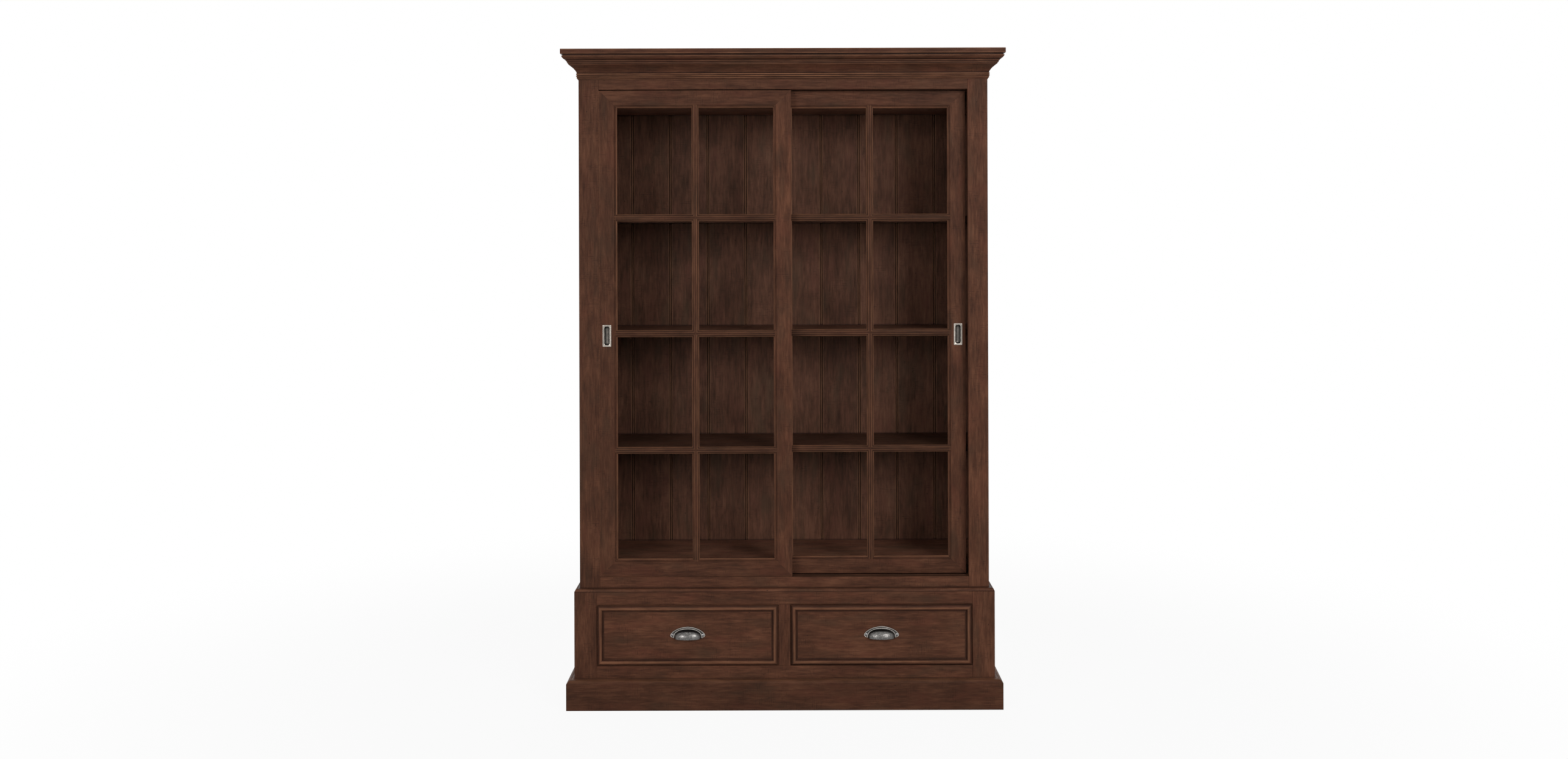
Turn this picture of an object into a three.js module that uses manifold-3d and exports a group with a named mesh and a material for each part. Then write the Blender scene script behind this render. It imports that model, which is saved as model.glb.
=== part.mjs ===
// Bookcase with two sliding glazed doors over two drawers, in millimetres, +Z up.
// While it is worked out, x = 0 is the middle, y = 0 the front of the upper face frame,
// +y runs to the back and z = 0 is the floor. The finished group then moves along y,
// so that its origin is the middle of the box that the bookcase stands in.
import * as THREE from 'three';
import { mergeVertices } from 'three/addons/utils/BufferGeometryUtils.js';
import Module from 'manifold-3d';

const wasm = await Module();
wasm.setup();

// Whole bookcase
const overallHeight = 2134;
const caseWidth = 1329;
const caseDepth = 404;
const boardThickness = 19;
const fitGap = 0.3;
const cutOverrun = 5;
const curveSteps = 5;
const cornerSteps = 2;

// Crown moulding, with its section in shares of reach and height, from the case outwards
const crownReach = 52.5;
const crownHeight = 95.5;
const crownShares = [
  [0, 0], [0.05, 0],
  [0.06, 0.05, 0.1, 0.06], [0.1, 0.09], [0.155, 0.09, 0.155, 0.12], [0.155, 0.15, 0.1, 0.155],
  [0.08, 0.17], [0.08, 0.21], [0.11, 0.22], [0.11, 0.25],
  [0.2, 0.36, 0.54, 0.49], [0.56, 0.5], [0.56, 0.54], [0.62, 0.555], [0.62, 0.58],
  [0.68, 0.6], [0.68, 0.64], [0.74, 0.66], [0.87, 0.68, 0.94, 0.79], [0.94, 0.81],
  [1, 0.812], [1, 0.99], [0.985, 1], [0, 1],
];

// Base cabinet and plinth
const baseStep = 16.5;
const baseHeight = 376.5;
const plinthHeight = 98;
const plinthThickness = 24;
const plinthCapHeight = 13.5;
const plinthCapShares = [
  [0, 1], [0.09, 1], [0.11, 0.9], [0.72, 0.98, 0.93, 0.16], [1, 0.1], [1, 0],
];
const baseMouldingHeight = 12;
const baseMouldingShares = [
  [0, 0], [1, 0], [1, 0.16], [0.94, 0.2], [0.82, 0.98, 0.16, 0.9], [0.12, 1], [0, 1],
];
const baseStileWidth = 72.5;
const baseCentreStileWidth = 38;
const baseTopRailWidth = 40;
const baseBottomRailReveal = 40.3;
const baseBackThickness = 12;

// Upper face frame
const frameThickness = 19;
const stileWidth = 65;
const topRailHeight = 109;
const bottomRailHeight = 45.5;

// Doors
const doorOverlap = 55;
const doorThickness = 29;
const doorPassingGap = 5;
const doorTopGap = 3;
const leftDoorSideGap = 1;
const rightDoorSideGap = 5;
const doorStileWidth = 58;
const doorRailWidth = 56;
const stickingWidth = 9;
const stickingDepth = 5;
const stickingShares = [
  [0, 0], [0.06, 0.36], [0.15, 0.36], [0.17, 0.04, 0.34, 0.04], [0.52, 0.04, 0.54, 0.4],
  [0.56, 0.64], [0.62, 0.64], [0.96, 0.64, 0.96, 0.96], [1, 1],
];
const copeShares = [[0, -0.02], [0.5, -0.02], [0.6, 0.5], [0.9, 0.57], [1.035, 0.9]];
const muntinFlat = 5;
const muntinHeightShares = [0.24, 0.499, 0.756];
const glassThickness = 3;
const glassSetback = 12;
const glassGrooveDepth = 6;
const doorBackRelief = 4;

// Door hardware: top tongue, rollers and flush pulls
const trackInset = 7;
const tongueThickness = 5;
const tongueHeight = 9;
const tongueSideGap = 1;
const tongueFrontGap = 1.5;
const tongueTopGap = 7;
const rollerRadius = 9;
const rollerWidth = 5;
const rollerInset = 90;
const rollerDrop = 1.2;
const rollerSideGap = 1;
const rollerTopGap = 1.5;
const rollerSides = 24;
const axleRadius = 2;
const axleLength = 10;
const railHeight = 2;
const railWidth = 2;
const flushPullWidth = 28;
const flushPullHeight = 71;
const flushPullProud = 1.2;
const flushPullRim = 6;
const flushPullBevel = 1;
const flushPullCorner = 3;
const flushPullWall = 2;
const flushPullRecessDepth = 8;
const flushPullRecessCorner = 5;
const flushPullInset = 24;
const flushPullHeightShare = 0.495;

// Tracks and the inside of the upper case
const topTrackThickness = 24;
const lipThickness = 6;
const insideGap = 4;
const ceilingRise = 6;
const deckDrop = 16.5;
const shelfRise = 4;
const dadoDepth = 6;
const backThickness = 15;
const backBoardPitch = 132;
const backBeadWidth = 5;
const backQuirkWidth = 2.2;
const backQuirkDepth = 3.5;
const backBeadDrop = 0.4;
const backBeadSteps = 3;

// Drawers
const drawerFrontRelief = 1;
const drawerFrontGap = 2;
const drawerBackGap = 30.5;
const drawerBoxTopGap = 35.5;
const drawerBoxRise = 7.7;
const drawerBoxSideGap = 2.5;
const drawerWallThickness = 12;
const drawerBottomThickness = 6;
const drawerBottomRise = 8;
const drawerGrooveDepth = 5;
const beadFrameInset = 1;
const beadFrameWidth = 19.5;
const beadFrameHeight = 8;
const beadFrameShares = [
  [0, 0], [0, 0.36], [0.02, 1, 0.33, 1], [0.58, 1, 0.68, 0.56], [0.72, 0.46],
  [0.9, 0.4, 0.93, 0.2], [1, 0.16], [1, 0],
];
const runnerThickness = 20;
const runnerGuideHeight = 30;
const runnerGuideGap = 1;
const runnerLedgeSpare = 4;

// Cup pulls
const cupPullWidth = 114;
const cupPullHeight = 38;
const cupPullEarRise = 6;
const cupPullFlange = 2.5;
const cupWidth = 86;
const cupHeight = 26;
const cupProjection = 25;
const cupWall = 2.2;
const cupPullDrop = 10;
const cupSides = 28;
const cupRings = 16;

// Finishes: colour, roughness and metalness
const finishes = {
  stainedWood: { color: 0x503429, roughness: 0.45, metalness: 0 },
  insideWood: { color: 0x4b3127, roughness: 0.5, metalness: 0 },
  drawerWood: { color: 0x8c6848, roughness: 0.6, metalness: 0 },
  glass: { color: 0xe6ecea, roughness: 0.04, metalness: 0, transparent: true, opacity: 0.25 },
  pewter: { color: 0x8e8c89, roughness: 0.35, metalness: 1 },
  steel: { color: 0xa9abad, roughness: 0.3, metalness: 1 },
};

// Planes that several pieces share
const caseHalf = caseWidth / 2;
const caseInner = caseHalf - boardThickness;
const topBoardBottom = overallHeight - boardThickness;
const openingHalf = caseHalf - stileWidth;
const openingTop = topBoardBottom - topRailHeight;
const baseHalf = caseHalf + baseStep;
const baseInner = baseHalf - boardThickness;
const baseFront = -baseStep;
const baseFrameBack = baseFront + frameThickness;
const baseBackFace = caseDepth - baseBackThickness;
const baseFloorBottom = plinthHeight - boardThickness;
const baseOpeningHalf = baseHalf - baseStileWidth;
const drawerOpeningTop = baseHeight - baseTopRailWidth;
const drawerOpeningBottom = plinthHeight + baseBottomRailReveal;
const backFace = caseDepth - backThickness;
const backJointsPerSide = Math.floor((caseInner - backBoardPitch / 2) / backBoardPitch);
const sillHeight = baseHeight + bottomRailHeight;
const axleHeight = sillHeight + railHeight + fitGap + rollerRadius;
const doorBottom = axleHeight - rollerRadius + rollerDrop;
const doorTop = openingTop - doorTopGap;
const doorSideGaps = leftDoorSideGap + rightDoorSideGap;
const doorWidth = openingHalf + (doorOverlap - doorSideGaps) / 2;
const trackLineOf = (doorFace) => doorFace + doorThickness - trackInset;
const frontTrackLine = frameThickness + tongueFrontGap + tongueThickness / 2;
const frontDoorFace = frontTrackLine + trackInset - doorThickness;
const rearDoorFace = frontDoorFace + doorThickness + doorPassingGap;
const insideFront = rearDoorFace + doorThickness + insideGap;
const tongueTop = doorTop + tongueHeight;
const glazingBottom = doorBottom + doorRailWidth;
const glazingTop = doorTop - doorRailWidth;
const deckHeight = glazingBottom - deckDrop;
const ceilingHeight = glazingTop + ceilingRise;
const muntinWidth = muntinFlat + 2 * stickingWidth;
const muntinHeights = muntinHeightShares.map(
  (share) => glazingBottom + share * (glazingTop - glazingBottom),
);

const bookcase = new THREE.Group();
bookcase.name = 'bookcase';

// Adds one named piece with a material of its own
function addPiece(name, geometry, finish) {
  const material = new THREE.MeshStandardMaterial(finishes[finish]);
  const piece = new THREE.Mesh(geometry, material);
  piece.name = name;
  bookcase.add(piece);
}

// A box between three pairs of planes
function block([x0, x1], [y0, y1], [z0, z1]) {
  const geometry = new THREE.BoxGeometry(1, 1, 1);
  const position = geometry.attributes.position;
  for (let i = 0; i < position.count; i += 1) {
    const x = position.getX(i) < 0 ? x0 : x1;
    const y = position.getY(i) < 0 ? y0 : y1;
    const z = position.getZ(i) < 0 ? z0 : z1;
    position.setXYZ(i, x, y, z);
  }
  return geometry;
}

// An outline carried along an axis: (y, z) along x, (x, z) along y or (x, y) along z
function prism(points, axis, [from, to]) {
  const settings = { depth: 1, bevelEnabled: false };
  const geometry = new THREE.ExtrudeGeometry(new THREE.Shape(points), settings);
  const position = geometry.attributes.position;
  for (let i = 0; i < position.count; i += 1) {
    const a = position.getX(i);
    const b = position.getY(i);
    const far = position.getZ(i) > 0;
    if (axis === 'x') position.setXYZ(i, far ? to : from, a, b);
    if (axis === 'y') position.setXYZ(i, a, far ? from : to, b);
    if (axis === 'z') position.setXYZ(i, a, b, far ? to : from);
  }
  geometry.computeVertexNormals();
  return geometry;
}

// Points of an outline: two shares are a corner, four are a curve's pull point and its end
function outline(shares, width, height) {
  const path = new THREE.Path();
  for (const [i, [x, y, endX, endY]] of shares.entries()) {
    if (i === 0) path.moveTo(x * width, y * height);
    else if (endX === undefined) path.lineTo(x * width, y * height);
    else path.quadraticCurveTo(x * width, y * height, endX * width, endY * height);
  }
  return path.getPoints(curveSteps);
}

// A rectangle with round corners about a middle point
function roundedRectangle(middleX, middleY, width, height, corner) {
  const right = middleX + width / 2 - corner;
  const left = middleX - width / 2 + corner;
  const top = middleY + height / 2 - corner;
  const bottom = middleY - height / 2 + corner;
  const path = new THREE.Path();
  path.absarc(right, top, corner, 0, Math.PI / 2);
  path.absarc(left, top, corner, Math.PI / 2, Math.PI);
  path.absarc(left, bottom, corner, Math.PI, Math.PI * 1.5);
  path.absarc(right, bottom, corner, Math.PI * 1.5, Math.PI * 2);
  return path.getPoints(cornerSteps);
}

function toSolid(geometry) {
  const bare = geometry.clone();
  bare.deleteAttribute('normal');
  bare.deleteAttribute('uv');
  const merged = mergeVertices(bare);
  const vertProperties = new Float32Array(merged.attributes.position.array);
  const triVerts = new Uint32Array(merged.index.array);
  return new wasm.Manifold(new wasm.Mesh({ numProp: 3, vertProperties, triVerts }));
}

function toGeometry(solid) {
  const mesh = solid.getMesh();
  const geometry = new THREE.BufferGeometry();
  geometry.setAttribute('position', new THREE.BufferAttribute(mesh.vertProperties, 3));
  geometry.setIndex(new THREE.BufferAttribute(mesh.triVerts, 1));
  geometry.computeVertexNormals();
  return geometry;
}

function joined(geometries) {
  return toGeometry(geometries.map(toSolid).reduce((all, solid) => all.add(solid)));
}

function cut(geometry, tools) {
  return toGeometry(tools.reduce((rest, tool) => rest.subtract(toSolid(tool)), toSolid(geometry)));
}

function kept(geometry, inside) {
  return toGeometry(toSolid(geometry).intersect(toSolid(inside)));
}

// A section carried from ring to ring, with flat ends or closed on itself
function loft(rings, section, isClosed) {
  const count = section.length;
  const index = [];
  const spans = isClosed ? rings.length : rings.length - 1;
  for (let r = 0; r < spans; r += 1) {
    const here = r * count;
    const next = ((r + 1) % rings.length) * count;
    for (let i = 0; i < count; i += 1) {
      const j = (i + 1) % count;
      index.push(here + i, here + j, next + j, here + i, next + j, next + i);
    }
  }
  if (!isClosed) {
    const last = (rings.length - 1) * count;
    for (const [a, b, c] of THREE.ShapeUtils.triangulateShape(section, [])) {
      index.push(c, b, a, last + a, last + b, last + c);
    }
  }
  const points = rings.flat();
  if (sixfoldVolume(points, index) < 0) index.reverse();
  const geometry = new THREE.BufferGeometry().setFromPoints(points);
  geometry.setIndex(index);
  geometry.computeVertexNormals();
  return geometry;
}

// Six times the volume that the triangles enclose, which is negative when they face inwards
function sixfoldVolume(points, index) {
  let volume = 0;
  for (let i = 0; i < index.length; i += 3) {
    const [a, b, c] = [points[index[i]], points[index[i + 1]], points[index[i + 2]]];
    volume += a.dot(b.clone().cross(c));
  }
  return volume;
}

function counterclockwise(section) {
  return THREE.ShapeUtils.isClockWise(section) ? [...section].reverse() : section;
}

// A moulding round the left side, the front and the right side, mitred at both corners
function wrapMoulding(shape, half, front, bottom) {
  const section = counterclockwise(shape);
  const corners = [
    [-half, caseDepth, -1, 0], [-half, front, -1, -1], [half, front, 1, -1], [half, caseDepth, 1, 0],
  ];
  const rings = corners.map(([x, y, outX, outY]) => section.map(
    (point) => new THREE.Vector3(x + outX * point.x, y + outY * point.x, bottom + point.y),
  ));
  return loft(rings, section, false);
}

function makeCrown() {
  const section = outline(crownShares, crownReach, crownHeight);
  const bottom = overallHeight - crownHeight;
  addPiece('crown_moulding', wrapMoulding(section, caseHalf, 0, bottom), 'stainedWood');
}

function shelfTops() {
  return muntinHeights.map((height) => height + shelfRise);
}

// Top planes of every board that is housed in the case sides
function housedTops() {
  return [deckHeight, ...shelfTops(), ceilingHeight + boardThickness];
}

// The range between two places on one side of the middle, lowest first
function span(side, inner, outer) {
  return side < 0 ? [-outer, -inner] : [inner, outer];
}

function makeCaseSides() {
  for (const [name, side] of [['left', -1], ['right', 1]]) {
    const width = span(side, caseInner, caseHalf);
    const board = block(width, [frameThickness, caseDepth], [baseHeight, topBoardBottom]);
    const dadoes = housedTops().map((top) => block(
      span(side, caseInner - cutOverrun, caseInner + dadoDepth),
      [insideFront - fitGap, backFace + fitGap],
      [top - boardThickness, top + fitGap],
    ));
    addPiece(`upper_side_${name}`, cut(board, dadoes), 'stainedWood');
  }
}

function makeFaceFrame() {
  const depth = [0, frameThickness];
  const height = [baseHeight, topBoardBottom];
  for (const [name, side] of [['left', -1], ['right', 1]]) {
    const stile = block(span(side, openingHalf, caseHalf), depth, height);
    addPiece(`frame_stile_${name}`, stile, 'stainedWood');
  }
  const width = [-openingHalf, openingHalf];
  addPiece('frame_top_rail', block(width, depth, [openingTop, topBoardBottom]), 'stainedWood');
  addPiece('frame_bottom_rail', block(width, depth, [baseHeight, sillHeight]), 'stainedWood');
}

// The deck, the shelves and the ceiling stand in the dadoes of the case sides
function makeHousedBoards() {
  const reach = caseInner + dadoDepth - fitGap;
  const names = ['deck_panel', 'shelf_lower', 'shelf_middle', 'shelf_upper', 'ceiling_panel'];
  for (const [i, top] of housedTops().entries()) {
    const board = block([-reach, reach], [insideFront, backFace], [top - boardThickness, top]);
    addPiece(names[i], board, 'insideWood');
  }
}

function makeTopBoard() {
  const board = block([-caseHalf, caseHalf], [0, caseDepth], [topBoardBottom, overallHeight]);
  addPiece('top_board', board, 'stainedWood');
}

// Front edge of one joint between back boards: a small bead between two quirks
function backJoint(middle) {
  const beadHalf = backBeadWidth / 2;
  const bottom = backFace + backQuirkDepth;
  const crest = backFace + backBeadDrop;
  const path = new THREE.Path();
  path.moveTo(middle - beadHalf - backQuirkWidth, backFace);
  path.lineTo(middle - beadHalf, bottom);
  path.quadraticCurveTo(middle - beadHalf, crest, middle, crest);
  path.quadraticCurveTo(middle + beadHalf, crest, middle + beadHalf, bottom);
  path.lineTo(middle + beadHalf + backQuirkWidth, backFace);
  return path.getPoints(backBeadSteps);
}

function makeBack() {
  const joints = [];
  for (let k = -backJointsPerSide; k <= backJointsPerSide; k += 1) {
    joints.push(...backJoint(k * backBoardPitch));
  }
  const points = [
    new THREE.Vector2(-caseInner, caseDepth),
    new THREE.Vector2(-caseInner, backFace),
    ...joints,
    new THREE.Vector2(caseInner, backFace),
    new THREE.Vector2(caseInner, caseDepth),
  ];
  addPiece('beadboard_back', prism(points, 'z', [baseHeight, topBoardBottom]), 'insideWood');
}

// The top track holds the door tongues in a front rebate and a rear groove
function makeTopTrack() {
  const channelHalf = tongueThickness / 2 + tongueSideGap;
  const channelTop = tongueTop + tongueTopGap;
  const frontLine = trackLineOf(frontDoorFace);
  const rearLine = trackLineOf(rearDoorFace);
  const top = openingTop + topTrackThickness;
  const lipBack = insideFront + lipThickness;
  const points = [
    [frameThickness, top], [frameThickness, channelTop],
    [frontLine + channelHalf, channelTop], [frontLine + channelHalf, openingTop],
    [rearLine - channelHalf, openingTop], [rearLine - channelHalf, channelTop],
    [rearLine + channelHalf, channelTop], [rearLine + channelHalf, openingTop],
    [insideFront, openingTop], [insideFront, ceilingHeight + boardThickness],
    [lipBack, ceilingHeight + boardThickness], [lipBack, top],
  ].map(([y, z]) => new THREE.Vector2(y, z));
  addPiece('top_track', prism(points, 'x', [-caseInner, caseInner]), 'stainedWood');
}

// The sill carries two low rails for the rollers, and a lip under the deck
function makeBottomTrack() {
  const bottom = sillHeight - boardThickness;
  const railTop = sillHeight + railHeight;
  const lipBack = insideFront + lipThickness;
  const rails = [frontDoorFace, rearDoorFace].flatMap((doorFace) => {
    const line = trackLineOf(doorFace);
    return [
      [line - railWidth / 2, sillHeight], [line - railWidth / 2, railTop],
      [line + railWidth / 2, railTop], [line + railWidth / 2, sillHeight],
    ];
  });
  const points = [
    [frameThickness, bottom], [frameThickness, sillHeight], ...rails,
    [insideFront, sillHeight], [insideFront, deckHeight - boardThickness],
    [lipBack, deckHeight - boardThickness], [lipBack, bottom],
  ].map(([y, z]) => new THREE.Vector2(y, z));
  addPiece('bottom_track', prism(points, 'x', [-caseInner, caseInner]), 'stainedWood');
}

// Section of a door stile or rail: across from its outer edge, and back from the door's face
function doorSection(width) {
  const flat = width - stickingWidth;
  const sticking = outline(stickingShares, stickingWidth, stickingDepth);
  const grooveBack = glassSetback + glassThickness + 2 * fitGap;
  return [
    [0, 0],
    ...sticking.map(({ x, y }) => [flat + x, y]),
    [width, glassSetback], [width - glassGrooveDepth, glassSetback],
    [width - glassGrooveDepth, grooveBack], [width - doorBackRelief, grooveBack],
    [width - doorBackRelief, doorThickness], [0, doorThickness],
  ];
}

// Section of a muntin: across from its middle line, and back from the door's face
function muntinSection() {
  const sticking = outline(stickingShares, stickingWidth, stickingDepth);
  const half = [...sticking.map(({ x, y }) => [muntinFlat / 2 + x, y]), [muntinWidth / 2, glassSetback]];
  return [...half.map(([x, y]) => [-x, y]).reverse(), ...half];
}

// Outlines, seen from the front, that mitre the stiles and the rails at the door's corners
function stileKeep(outer, side) {
  const flat = doorStileWidth - stickingWidth;
  const railFlat = doorRailWidth - stickingWidth;
  return [
    [0, doorBottom], [flat, doorBottom + railFlat],
    [doorStileWidth, doorBottom + doorRailWidth], [doorStileWidth, doorTop - doorRailWidth],
    [flat, doorTop - railFlat], [0, doorTop],
  ].map(([across, z]) => new THREE.Vector2(outer - side * across, z));
}

function railKeep(left, edge, inward) {
  const flat = doorStileWidth - stickingWidth;
  const railFlat = doorRailWidth - stickingWidth;
  return [
    [fitGap, 0], [flat + fitGap, railFlat], [doorStileWidth + fitGap, doorRailWidth],
    [doorWidth - doorStileWidth - fitGap, doorRailWidth],
    [doorWidth - flat - fitGap, railFlat], [doorWidth - fitGap, 0],
  ].map(([x, up]) => new THREE.Vector2(left + x, edge + inward * up));
}

function makeStile(door, side) {
  const outer = side < 0 ? door.left : door.left + doorWidth;
  const section = doorSection(doorStileWidth).map(
    ([across, back]) => new THREE.Vector2(outer - side * across, door.face + back),
  );
  const depth = [door.face - cutOverrun, door.face + doorThickness + cutOverrun];
  const stile = prism(section, 'z', [doorBottom, doorTop]);
  return kept(stile, prism(stileKeep(outer, side), 'y', depth));
}

function makeRail(door, edge, inward) {
  const section = doorSection(doorRailWidth).map(
    ([across, back]) => new THREE.Vector2(door.face + back, edge + inward * across),
  );
  const rail = prism(section, 'x', [door.left, door.left + doorWidth]);
  const depth = [door.face - cutOverrun, door.face + doorThickness + cutOverrun];
  return kept(rail, prism(railKeep(door.left, edge, inward), 'y', depth));
}

function makeTongue(door) {
  const line = trackLineOf(door.face);
  const flat = doorStileWidth - stickingWidth;
  return block(
    [door.left + flat, door.left + doorWidth - flat],
    [line - tongueThickness / 2, line + tongueThickness / 2],
    [doorTop - tongueHeight, tongueTop],
  );
}

function rollerPlaces(door) {
  return [['left', door.left + rollerInset], ['right', door.left + doorWidth - rollerInset]];
}

// Pocket for one roller, with a slot each side that lets its axle in from below
function rollerPocket(door, x) {
  const line = trackLineOf(door.face);
  const wheelHalf = rollerWidth / 2 + rollerSideGap;
  const wheelReach = rollerRadius + rollerTopGap;
  const axleHalf = axleLength / 2 + fitGap;
  const slotHalf = axleRadius + fitGap;
  return [
    block([x - wheelReach, x + wheelReach], [line - wheelHalf, line + wheelHalf],
      [doorBottom - cutOverrun, axleHeight + wheelReach]),
    block([x - slotHalf, x + slotHalf], [line - axleHalf, line + axleHalf],
      [doorBottom - cutOverrun, axleHeight + axleRadius + fitGap]),
  ];
}

function makeRoller(door, x) {
  const profile = [
    [0, -axleLength / 2], [axleRadius, -axleLength / 2], [axleRadius, -rollerWidth / 2],
    [rollerRadius, -rollerWidth / 2], [rollerRadius, rollerWidth / 2],
    [axleRadius, rollerWidth / 2], [axleRadius, axleLength / 2], [0, axleLength / 2],
  ].map(([radius, along]) => new THREE.Vector2(radius, along));
  return new THREE.LatheGeometry(profile, rollerSides).translate(x, trackLineOf(door.face), axleHeight);
}

// Space that the ends of the muntins leave round the sticking of a stile or rail
function copeSection(width) {
  const flat = width - stickingWidth;
  const cope = copeShares.map(([x, y]) => [flat + x * stickingWidth, y * stickingDepth]);
  const [end] = cope.at(-1);
  return [[flat, doorThickness], ...cope, [end, doorThickness]];
}

// Bars laid across each other, coped to the sticking of the stiles and rails
function makeMuntins(door) {
  const section = muntinSection();
  const middle = door.left + doorWidth / 2;
  const right = door.left + doorWidth;
  const width = [door.left + doorStileWidth - stickingWidth, right - doorStileWidth + stickingWidth];
  const height = [glazingBottom - stickingWidth, glazingTop + stickingWidth];
  const upright = prism(
    section.map(([x, back]) => new THREE.Vector2(middle + x, door.face + back)), 'z', height,
  );
  const crossbars = muntinHeights.map((barHeight) => prism(
    section.map(([z, back]) => new THREE.Vector2(door.face + back, barHeight + z)), 'x', width,
  ));
  const besideStiles = [[door.left, 1], [right, -1]].map(([edge, inward]) => prism(
    copeSection(doorStileWidth).map(
      ([across, back]) => new THREE.Vector2(edge + inward * across, door.face + back),
    ), 'z', [doorBottom, doorTop],
  ));
  const besideRails = [[doorBottom, 1], [doorTop, -1]].map(([edge, inward]) => prism(
    copeSection(doorRailWidth).map(
      ([across, back]) => new THREE.Vector2(door.face + back, edge + inward * across),
    ), 'x', [door.left, right],
  ));
  return cut(joined([upright, ...crossbars]), [...besideStiles, ...besideRails]);
}

function makeGlass(door) {
  const edge = glassGrooveDepth - fitGap;
  const front = door.face + glassSetback + fitGap;
  return block(
    [door.left + doorStileWidth - edge, door.left + doorWidth - doorStileWidth + edge],
    [front, front + glassThickness],
    [glazingBottom - edge, glazingTop + edge],
  );
}

function flushPullMiddle(door) {
  const x = door.pullSide < 0 ? door.left + flushPullInset : door.left + doorWidth - flushPullInset;
  return [x, doorBottom + flushPullHeightShare * (doorTop - doorBottom)];
}

const flushPullBodyWidth = flushPullWidth - 2 * flushPullRim + 2 * flushPullWall;
const flushPullBodyHeight = flushPullHeight - 2 * flushPullRim + 2 * flushPullWall;
const flushPullBodyDepth = flushPullRecessDepth + flushPullWall;

// Mortise in the stile for the body of the flush pull
function flushPullMortise(door) {
  const [x, z] = flushPullMiddle(door);
  const shape = roundedRectangle(
    x, z, flushPullBodyWidth + 2 * fitGap, flushPullBodyHeight + 2 * fitGap, flushPullRecessCorner,
  );
  return prism(shape, 'y', [door.face - cutOverrun, door.face + flushPullBodyDepth + fitGap]);
}

function makeFlushPull(door) {
  const [x, z] = flushPullMiddle(door);
  const front = door.face - flushPullProud;
  const width = flushPullWidth;
  const height = flushPullHeight;
  const plate = prism(
    roundedRectangle(x, z, width, height, flushPullCorner), 'y', [front + flushPullProud / 2, door.face],
  );
  const face = prism(
    roundedRectangle(x, z, width - 2 * flushPullBevel, height - 2 * flushPullBevel, flushPullCorner),
    'y', [front, door.face],
  );
  const body = prism(
    roundedRectangle(x, z, flushPullBodyWidth, flushPullBodyHeight, flushPullRecessCorner),
    'y', [front, door.face + flushPullBodyDepth],
  );
  const recess = prism(
    roundedRectangle(x, z, width - 2 * flushPullRim, height - 2 * flushPullRim, flushPullRecessCorner),
    'y', [front - cutOverrun, door.face + flushPullRecessDepth],
  );
  return cut(joined([plate, face, body]), [recess]);
}

function makeDoor(door) {
  for (const [name, side] of [['left', -1], ['right', 1]]) {
    const stile = makeStile(door, side);
    const isMortised = side === door.pullSide;
    const finished = isMortised ? cut(stile, [flushPullMortise(door)]) : stile;
    addPiece(`${door.name}_${name}_stile`, finished, 'stainedWood');
  }
  const topRail = joined([makeRail(door, doorTop, -1), makeTongue(door)]);
  const pockets = rollerPlaces(door).flatMap(([, x]) => rollerPocket(door, x));
  const bottomRail = cut(makeRail(door, doorBottom, 1), pockets);
  addPiece(`${door.name}_top_rail`, topRail, 'stainedWood');
  addPiece(`${door.name}_bottom_rail`, bottomRail, 'stainedWood');
  addPiece(`${door.name}_muntins`, makeMuntins(door), 'stainedWood');
  addPiece(`${door.name}_glass`, makeGlass(door), 'glass');
  addPiece(`${door.name}_flush_pull`, makeFlushPull(door), 'pewter');
  for (const [name, x] of rollerPlaces(door)) {
    addPiece(`${door.name}_${name}_roller`, makeRoller(door, x), 'steel');
  }
}

function makeBaseFrame() {
  const depth = [baseFront, baseFrameBack];
  for (const [name, side] of [['left', -1], ['right', 1]]) {
    const stile = block(span(side, baseOpeningHalf, baseHalf), depth, [0, baseHeight]);
    addPiece(`base_stile_${name}`, stile, 'stainedWood');
  }
  const width = [-baseOpeningHalf, baseOpeningHalf];
  addPiece('base_top_rail', block(width, depth, [drawerOpeningTop, baseHeight]), 'stainedWood');
  addPiece('base_bottom_rail', block(width, depth, [baseFloorBottom, drawerOpeningBottom]), 'stainedWood');
  const centre = [-baseCentreStileWidth / 2, baseCentreStileWidth / 2];
  const between = [drawerOpeningBottom, drawerOpeningTop];
  addPiece('base_stile_centre', block(centre, depth, between), 'stainedWood');
}

function makeBasePanels() {
  const depth = [baseFrameBack, caseDepth];
  const inside = [-baseInner, baseInner];
  const underTop = baseHeight - boardThickness;
  for (const [name, side] of [['left', -1], ['right', 1]]) {
    const board = block(span(side, baseInner, baseHalf), depth, [0, baseHeight]);
    addPiece(`base_side_${name}`, board, 'stainedWood');
  }
  addPiece('base_top', block(inside, depth, [underTop, baseHeight]), 'insideWood');
  const back = block(inside, [baseBackFace, caseDepth], [baseFloorBottom, underTop]);
  addPiece('base_back', back, 'insideWood');
  const floor = block(inside, [baseFrameBack, baseBackFace], [baseFloorBottom, plinthHeight]);
  addPiece('base_floor', floor, 'insideWood');
}

function makeBaseMoulding() {
  const section = outline(baseMouldingShares, baseStep, baseMouldingHeight);
  addPiece('base_moulding', wrapMoulding(section, caseHalf, 0, baseHeight), 'stainedWood');
}

function makePlinth() {
  const cap = outline(plinthCapShares, plinthThickness, plinthCapHeight);
  const capBottom = plinthHeight - plinthCapHeight;
  const section = [
    new THREE.Vector2(0, 0),
    ...cap.map(({ x, y }) => new THREE.Vector2(x, capBottom + y)),
    new THREE.Vector2(plinthThickness, 0),
  ];
  addPiece('plinth', wrapMoulding(section, baseHalf, baseFront, 0), 'stainedWood');
}

const drawerBoxBottom = drawerOpeningBottom + drawerBoxRise;
const runnerTop = drawerBoxBottom - fitGap;
const drawerBoxTop = drawerOpeningTop - drawerBoxTopGap;
const drawerFrontBack = baseFrameBack - drawerFrontRelief;
const drawerBoxBack = baseBackFace - drawerBackGap;
const drawerBottomBottom = drawerBoxBottom + drawerBottomRise;

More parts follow.
